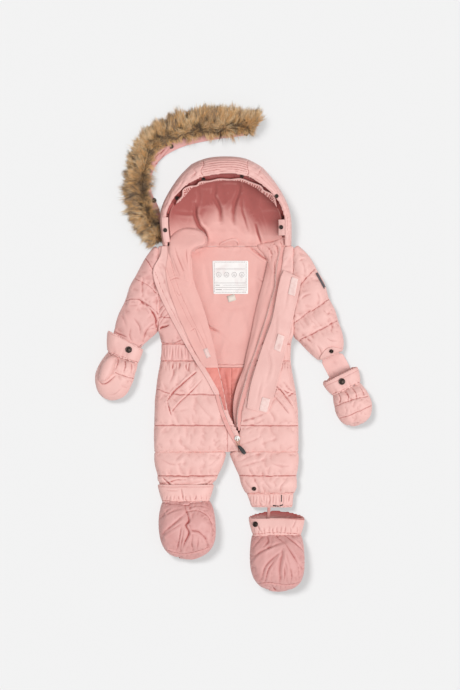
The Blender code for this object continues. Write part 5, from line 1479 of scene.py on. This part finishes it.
def add_hair(store, root, way, bend, length, width, shade, segments, side_turn):
    """A flat hair that tapers to a point, with its shades at the root, at three quarters and at the tip."""
    points, faces, shades = store
    first = len(points)
    spot, direction = root.copy(), way.copy()
    for k in range(segments + 1):
        share = k / segments
        across = np.cross(direction, (0.25 * math.cos(side_turn), 0.25 * math.sin(side_turn), 1.0))
        across /= max(np.linalg.norm(across), 1e-6)
        half = width / 2 * (1 - share ** 1.6)
        if share < 0.75:
            value = shade[0] + (shade[1] - shade[0]) * share
        else:
            value = shade[1] + (shade[2] - shade[1]) * (share - 0.75) * 4
        sides = [spot - across * half, spot + across * half] if k < segments else [spot]
        points.extend(sides)
        shades.extend([value] * len(sides))
        direction = direction + bend / segments
        direction /= np.linalg.norm(direction)
        spot = spot + direction * length / segments
        spot[2] = max(spot[2], 0.4)
    for a in range(first, first + 2 * segments - 2, 2):
        faces.append((a, a + 1, a + 3, a + 2))
    a = first + 2 * (segments - 1)
    faces.append((a, a + 1, a + 2))


def hair_piece(name, store, look):
    points, faces, shades = store
    store_shade(joined_mesh(name, points, faces, look, "fur").data, shades)


STRIP_FOLD = spots("149.6,163 152,155.6 157,149.6 164,145.8 171,145 169,149.6 164.4,155 159,161 154.6,165.4 "
                   "151,166")
STRIP_CREASES = rows(CREASE, """
1.6 1.6 0.8 153,161 158,155 166,149
1.4 1.6 0.7 158,160 161,154 165,147
""")


def unit(vector):
    return vector / np.linalg.norm(vector)


def under_hairs(luck, last):
    """Short hairs that fill the fur."""
    under = ([], [], [])
    for _ in range(UNDER_HAIRS):
        place, arc = luck.uniform(0.0, last), math.acos(luck.uniform(-1, 1)) * 1.06 - 0.08
        spot, out, tangent, along = fur_site(place, arc, 0.62)
        way = unit(out + 0.7 * tangent * luck.uniform(-0.3, 1.0) + along * luck.normal(0, 0.5))
        tone = luck.uniform(0.2, 1.0)
        add_hair(under, spot, way, -0.3 * UP, luck.uniform(7, 12), 1.1, (0.05, tone, tone), 2,
                 luck.uniform(0, ANY_TURN))
    return under


def guard_hairs(luck, last):
    """Long hairs in tufts, some tufts dark, most of all along the outer edge."""
    guard = ([], [], [])
    for _ in range(TUFTS):
        place, arc = luck.uniform(0.0, last), math.acos(luck.uniform(-1.0, 1.0))
        lean = luck.normal(-0.25, 0.35)
        patch = float(noise(place * 1.6, arc * 1.3, 1.0, 131))
        tone = float(np.clip(0.68 + 0.34 * patch + luck.normal(0, 0.16), 0.22, 1.0))
        if luck.random() < (0.36 if arc > 2.5 else 0.07):
            tone = luck.uniform(0.0, 0.25)
        rise, length = luck.uniform(0.4, 0.85), luck.uniform(22, 31) * (1.3 if luck.random() < 0.12 else 1.0)
        middle, _, _, _ = fur_site(place, arc, 0.6)
        for _ in range(HAIRS_PER_TUFT):
            p = float(np.clip(place + luck.normal(0, 0.07), 0, last))
            a = float(np.clip(arc + luck.normal(0, 0.09), -0.1, 3.2))
            spot, out, tangent, along = fur_site(p, a, luck.uniform(0.5, 0.66))
            outward = 1.0 if a > 0.9 else (a - 0.45) / 0.45
            way = rise * out + 0.75 * tangent * outward + along * (lean + luck.normal(0, 0.10))
            way = unit(way - 0.035 * (spot - middle))
            top = float(np.clip(tone + luck.normal(0, 0.08), 0, 1))
            tip = 0.05 if luck.random() < 0.4 else min(top + 0.22, 1.0)
            long = length * luck.uniform(0.75, 1.1) * (0.8 if a < 0.8 else 1.0)
            add_hair(guard, spot, way, -0.7 * UP, long, luck.uniform(0.6, 1.0), (0.62 * top, top, tip), 3,
                     luck.uniform(0, ANY_TURN))
    return guard


def fur_pile():
    """The dense fur under the hairs: the CAD roll, drawn in towards its middle line."""
    base, co, _ = fine_copy("fur", 2)
    edges = np.array(FUR_ROWS, float)
    spine = (edges[:, :2] + edges[:, 2:4]) / 2 - OFFSET
    fine = np.vstack([spine[k] + (spine[k + 1] - spine[k]) * t
                      for k in range(len(spine) - 1) for t in np.linspace(0, 1, 6)[:, None]])
    nearest = fine[np.argmin(((co[:, None, :2] - fine[None]) ** 2).sum(axis=2), axis=1)]
    co[:, :2] = nearest + (co[:, :2] - nearest) * 0.66
    co[:, 2] = 2.6 + (co[:, 2] - 2.6) * 0.62
    set_points(base, co)
    base.name = "fur_pile"
    store_shade(base.data, np.full(len(co), 0.3))
    wear(base, "fur", "underfur", "fur")


def build_fur():
    luck = np.random.default_rng(5)
    last = len(FUR_ROWS) - 1.02
    under, guard = under_hairs(luck, last), guard_hairs(luck, last)
    fur_pile()
    hair_piece("fur_underhair", under, "underfur")
    hair_piece("fur_guard_hair", guard, "hair")
    drape("fur_strip", 2, "bootie", wrinkle=(0.2, 10.0, 101), top_only=True)
    mound("strip_fold", STRIP_FOLD, lambda p: 6.5, lambda p: 2.0, 6.0, "bootie", ("fur_strip_cloth",),
          STRIP_CREASES, (0.5, 6.0, 123, 1.2, 0.8), slot="padded_nylon")


# ---------------------------------------------------------------- trims

FLAP_STITCHES = (
    spots("285.1,270.5 280.4,281 275.6,310 271.8,325 264.8,343 260.2,357 254.6,375 251,388.4 248.4,406"),
    spots("299.5,278.5 298.7,286.8 292.1,314.8 289.2,328.2 286.6,340 280.6,364.1 274.6,387.7 271.3,401 "
          "266,411.6"),
    spots("248.4,406.4 257,409.2 266,411.6"))
PLACKET_STITCHES = spots("161.5,295.6 172,316.6 184.8,340.2 196.9,361.2 208,377.6 216.7,394.6")


def stitch_rows():
    store = ([], [])

    def sew(points, *nodes, offsets=(0.0,)):
        line = smooth_line(points, 8)
        for distance in offsets:
            add_stitches(store, offset_line(line, distance), [node + "_cloth" for node in nodes])

    for points in FLAP_STITCHES:
        sew(points, "storm_flap")
    sew(PLACKET_STITCHES, "placket_left", "facing_left", offsets=(0.0, 5.0))
    for seam in RIGHT_SLEEVE_SEAMS[:3]:
        sew(seam[5], "sleeve_right")
    for seam in LEFT_SLEEVE_SEAMS[:2]:
        sew(seam[5], "sleeve_left")
    front = ("lower_front_left", "lower_front_right", "waist_front_left", "waist_front_right")
    for seam in LOWER_SEAMS[:4]:
        sew(seam[5], *front)
    for seam in WAIST_SEAMS:
        sew([(x, y + 1.0) for x, y in seam[5][:3]], *front, "bodice_front_left")
    sew(LEFT_LEG_SEAMS[0][5], "leg_left")
    sew(RIGHT_LEG_SEAMS[0][5], "leg_right")
    sew([(x, y - 1.4) for x, y in HEM_SEAMS[1][5]], "hem_right")
    for share in BRIM_ROWS:
        line = hood_line(share, ends=ALL_ROUND if share > 0.8 else BRIM_TOP)
        add_stitches(store, smooth_line(line, 8), ("hood_brim_cloth",))
    for side, points in (("left", "170,399.4 182,387.3 194,375.6"), ("right", "278,389.3 284,396.4 289.6,403")):
        sew(spots(points), "pocket_welt_" + side, offsets=(-1.6, -8.0))
    for node, points in (("mitten_left", "110.5,333.2 127,341.2 142,350.2"),
                         ("mitten_right", "325,386.6 341,379.2 358,370.6"),
                         ("bootie_left", "158.6,486.4 184,487 212.6,486.4"),
                         ("bootie_right", "249.6,520 276,519.4 303.4,520")):
        sew(spots(points), node + "_cuff")
    for node, seams in (("mitten_left", MITTEN_LEFT_SEAMS[:1]), ("mitten_right", MITTEN_RIGHT_SEAMS[:2]),
                        ("bootie_left", LEFT_BOOTIE_SEAMS[1:]), ("bootie_right", RIGHT_BOOTIE_SEAMS[1:])):
        for seam in seams:
            sew(seam[5], node)
    sew(spots("203,163.5 203.6,168 205,172"), "hood_brim", offsets=(1.6, -1.6))
    joined_mesh("topstitching", *store, "thread", "padded_nylon")


TOOTH_STEP = 1.9
# corners of a tooth in mm: along the tape, out from its edge, and height at its foot and at its top
TOOTH = ((-0.55, -0.6, 0.1), (0.55, -0.6, 0.1), (0.55, 1.9, 0.1), (-0.55, 1.9, 0.1),
         (-0.4, -0.45, 0.95), (0.4, -0.45, 0.95), (0.4, 1.7, 0.95), (-0.4, 1.7, 0.95))
TOOTH_FACES = ((0, 1, 5, 4), (1, 2, 6, 5), (2, 3, 7, 6), (3, 0, 4, 7), (4, 5, 6, 7))
# x, y of the teeth's edge in garment sizes, from the top down
RIGHT_TEETH = ((107, 402), (105, 388), (99.8, 365), (97.5, 343), (96.5, 322), (92, 307), (86, 287), (82, 271),
               (75, 248), (64, 214), (55, 187), (45, 161), (39.5, 140), (31, 111), (24, 83), (22, 62), (23, 48))
LEFT_TEETH = ((-12.6, 108), (-4.6, 80), (3.6, 60), (12.2, 41), (18.2, 30))


def zip_teeth():
    points, faces = [], []
    for table, side, node in ((RIGHT_TEETH, 1, "zip_tape_right"), (LEFT_TEETH, -1, "zip_tape_left")):
        line = np.array(table) - OFFSET
        run = run_of(line)
        for s in np.arange(1.0, run[-1] - 1, TOOTH_STEP):
            middle = at_run(line, run, s)
            ahead = at_run(line, run, s + 1) - middle
            ahead /= np.hypot(*ahead)
            out = np.array((ahead[1], -ahead[0])) * -side
            spot = top_of((node + "_cloth",), middle[0] + 1.6 * side, middle[1])
            if spot is None:
                continue
            first = len(points)
            points.extend((*(middle + ahead * u - out * v), spot[0] + w) for u, v, w in TOOTH)
            faces.extend(tuple(first + k for k in face) for face in TOOTH_FACES)
    joined_mesh("zip_teeth_rows", points, faces, "teeth", "zip_tape")


def patch_strip(store, centre, half_u, half_v, turn, below, lift, parts=3):
    """A thin plate lying on what is below it, given by its middle and half sizes in mm."""
    points, faces = store
    first = len(points)
    c, s = math.cos(turn), math.sin(turn)
    for i in range(parts + 1):
        for v in (-half_v, half_v):
            u = half_u * (2 * i / parts - 1)
            x, y = centre[0] + u * c - v * s, centre[1] + u * s + v * c
            spot = top_of(below, x, y)
            points.append(Vector((x, y, (spot[0] if spot else 12.0) + lift)))
    for a in range(first, first + 2 * parts, 2):
        faces.append((a, a + 2, a + 3, a + 1))


RING_RADIUS = 4.6
LABEL_INSET = 1.6          # of the stitches round the label, from its edge


def label_print():
    """Plain lines, rings and bars, with no lettering."""
    ink, below = ([], []), ("care_label_cloth",)
    low, high = plan(((213.6, 261.4), (247.0, 293.2)))

    def at(u, v):
        """A place on the label, from 0 to 1 across it and down it."""
        return low + (high - low) * (u, v)

    def bar(place, half, width, turn=0.0, lift=0.12, parts=1):
        patch_strip(ink, place, half, width, turn, below, lift, parts)

    for k in range(4):
        centre = at(0.155 + 0.23 * k, 0.42)
        for angle in 2 * math.pi * np.arange(12) / 12:
            way = np.array((math.cos(angle), math.sin(angle)))
            bar(centre + RING_RADIUS * way, 1.1, 0.30, angle + math.pi / 2)
        bar(centre + (0, -1.2), 2.6, 0.34)
        bar(centre + (0, 1.2), 1.8, 0.34)
    for v in (0.24, 0.68, 0.82):
        bar(at(0.5, v), (high[0] - low[0]) / 2 - 3.2, 0.26, lift=0.14, parts=12)
    for v, half in ((0.75, 4.0), (0.89, 6.0)):
        bar(at(0.06, v) + (half, 0), half, 0.5, parts=3)
    for v in (0.75, 0.89):
        for k in range(22):
            bar(at(0.30 + 0.029 * k, v), 0.6, 0.32)
    corners = [at(u, v) + (LABEL_INSET * (1 - 2 * u), LABEL_INSET * (2 * v - 1))
               for u, v in ((0, 0), (1, 0), (1, 1), (0, 1))]
    for a, b in zip(corners, corners[1:] + corners[:1]):
        length = np.hypot(*(b - a))
        for s in np.arange(1.5, length - 1, 3.0):
            bar(a + (b - a) * s / length, 1.0, 0.32, math.atan2(*(b - a)[::-1]), 0.15)
    joined_mesh("label_lines", *ink, "print", "label_satin")
    tag = ([], [])
    patch_strip(tag, plan((231.6, 298.2)), 7.8, 6.2, 0.32, ("back_lining_cloth",), 1.2, 4)
    piece = joined_mesh("size_tag", *tag, "cream", "label_satin")
    thicken(piece, 0.7)


def thicken(piece, thickness):
    """Gives a thin plate a back and edges."""
    def change(work):
        bmesh.ops.recalc_face_normals(work, faces=work.faces)
        bmesh.ops.solidify(work, geom=work.faces, thickness=thickness * MM)

    edit(piece.data, change)


def build_trims():
    stitch_rows()
    zip_teeth()
    label_print()
    for node, shares, radius, height in (
            ("mitten_left_snap", CAP, 6.4, 2.4), ("mitten_right_snap", CAP, 6.4, 2.4),
            ("bootie_right_snap", CAP, 5.4, 2.3), ("sleeve_right_socket", SOCKET, 4.3, 2.0),
            ("leg_right_socket", SOCKET, 4.3, 2.0)):
        node_snap(node, shares, radius, height)
    studs = ([], [])
    for shares, radius, height, below, points in (
            (SOCKET, 4.2, 1.6, ("hood_tab_left_cloth", "hood_tab_right_cloth"), "165.4,230.6 281,227.6"),
            (SOCKET, 4.0, 1.5, ("hood_frill_cloth", "hood_brim_cloth"),
             "177.3,198.6 203.6,180 242,176.6 276.4,196.8"),
            (CAP, 4.8, 1.8, ("fur_strip_cloth",), "154,200.4 171.2,146.4 246.2,133.6")):
        for point in spots(points):
            surface_snap(studs, point, below, shares, radius, height)
    joined_mesh("small_snaps", *studs, "metal", "snap_metal")
    # picture point, half sizes, direction, what is below, height over it, parts
    for name, look, slot, thickness, strips in (
            ("facing_patch", "hook_loop", "hook_and_loop", 0.9,
             (((207, 353.0), 9.4, 4.4, -1.17, ("facing_left_cloth",), 0.25, 5),)),
            ("elastic_loops", "elastic", "pull_rubber", None,
             (((281.3, 498.0), 7.0, 0.9, math.pi / 2, ("hem_right_cloth",), 0.15, 5),
              ((275.6, 505.6), 5.6, 1.3, -0.1, ("hem_right_cloth",), 0.25, 4),
              ((281.2, 505.0), 3.6, 1.1, 0.35, ("hem_right_cloth",), 0.3, 3),
              ((141.6, 345.6), 3.4, 1.6, 0.7, ("mitten_left_cuff_cloth", "sleeve_left_cloth"), 0.2, 3))),
            ("sleeve_badge", "badge", "padded_nylon", 0.6,
             (((320.8, 280.6), 17.0, 2.1, -1.07, ("sleeve_right_cloth",), 3.0, 12),))):
        store = ([], [])
        for point, *sizes in strips:
            patch_strip(store, plan(point), *sizes)
        piece = joined_mesh(name, *store, look, slot)
        if thickness:
            thicken(piece, thickness)
    for node, look in (("zip_slider", "enamel"), ("pull_cord", "cord"), ("pull_tab", "rubber")):
        for slot in frame["nodes"][node].material_slots:
            slot.material = LOOKS[look]


# ---------------------------------------------------------------- stage, light, camera

CAMERA_HEIGHT = 11.0
SENSOR = 24.0
FLOOR_HALF = 4.0
FLOOR_GLOW = 0.478
SKY = 0.80


def build_floor():
    mesh = bpy.data.meshes.new("floor")
    corners = [(x * FLOOR_HALF, y * FLOOR_HALF, 0) for x, y in ((-1, -1), (1, -1), (1, 1), (-1, 1))]
    mesh.from_pydata(corners, [], [(0, 1, 2, 3)])
    floor = bpy.data.objects.new("floor", mesh)
    floor.location.z = -0.0002
    COLLECTION.objects.link(floor)
    material, shader = base_material("floor_paper", 0.9, 0.0)
    place = patchy_colour(material, shader, (0.24, 0.24, 0.24), 0.6, 0.0)
    add_bumps(material, shader, place, (("fuzz", 0.002, 0.02, 0.0001),))
    shader.inputs["Emission Color"].default_value = (1, 1, 1, 1)
    shader.inputs["Emission Strength"].default_value = FLOOR_GLOW
    mesh.materials.append(material)
    return floor


def build_stage():
    floor = build_floor()
    # a broad soft key from the lower right models the cloth, and a sun from the upper left lights the floor alone
    for name, energy, width, way, state in (("key", 1.85, 38, (-0.46, 0.16, -1.0), "EXCLUDE"),
                                            ("floor_key", 4.2, 19, (0.42, -0.44, -1.0), "INCLUDE")):
        lamp = bpy.data.lights.new(name, "SUN")
        lamp.energy, lamp.angle = energy, math.radians(width)
        light = bpy.data.objects.new(name, lamp)
        light.rotation_euler = Vector(way).to_track_quat("-Z", "Y").to_euler()
        COLLECTION.objects.link(light)
        lit = bpy.data.collections.new(name + "_on")
        lit.objects.link(floor)
        lit.collection_objects[0].light_linking.link_state = state
        light.light_linking.receiver_collection = lit
    world = bpy.data.worlds.new("studio")
    world.use_nodes = True
    tree = world.node_tree
    split = add_node(tree, "SeparateXYZ")
    tree.links.new(add_node(tree, "TexCoord").outputs["Generated"], split.inputs[0])
    greys = [(place, (grey,) * 3) for place, grey in ((0.0, 0.30), (0.35, 0.48), (1.0, 1.0))]
    background = tree.nodes["Background"]
    tree.links.new(colour_ramp(tree, greys, split.outputs["Z"]), background.inputs["Color"])
    background.inputs["Strength"].default_value = SKY
    scene = bpy.context.scene
    scene.world = world
    scene.view_settings.view_transform = "Standard"
    camera_data = bpy.data.cameras.new("camera")
    camera_data.sensor_fit, camera_data.sensor_height = "VERTICAL", SENSOR
    camera_data.clip_end = 50
    camera_data.lens = SENSOR * CAMERA_HEIGHT / (FRAME[1] * PITCH * MM)
    camera = bpy.data.objects.new("camera", camera_data)
    x, y = plan((FRAME[0] / 2, FRAME[1] / 2))
    camera.location = (x * MM, y * MM, CAMERA_HEIGHT)
    COLLECTION.objects.link(camera)
    scene.camera = camera


build_stage()
build_shell()
build_mittens_and_booties()
build_front()
build_hood()
build_collar()
build_fur()
build_trims()
bpy.context.view_layer.update()
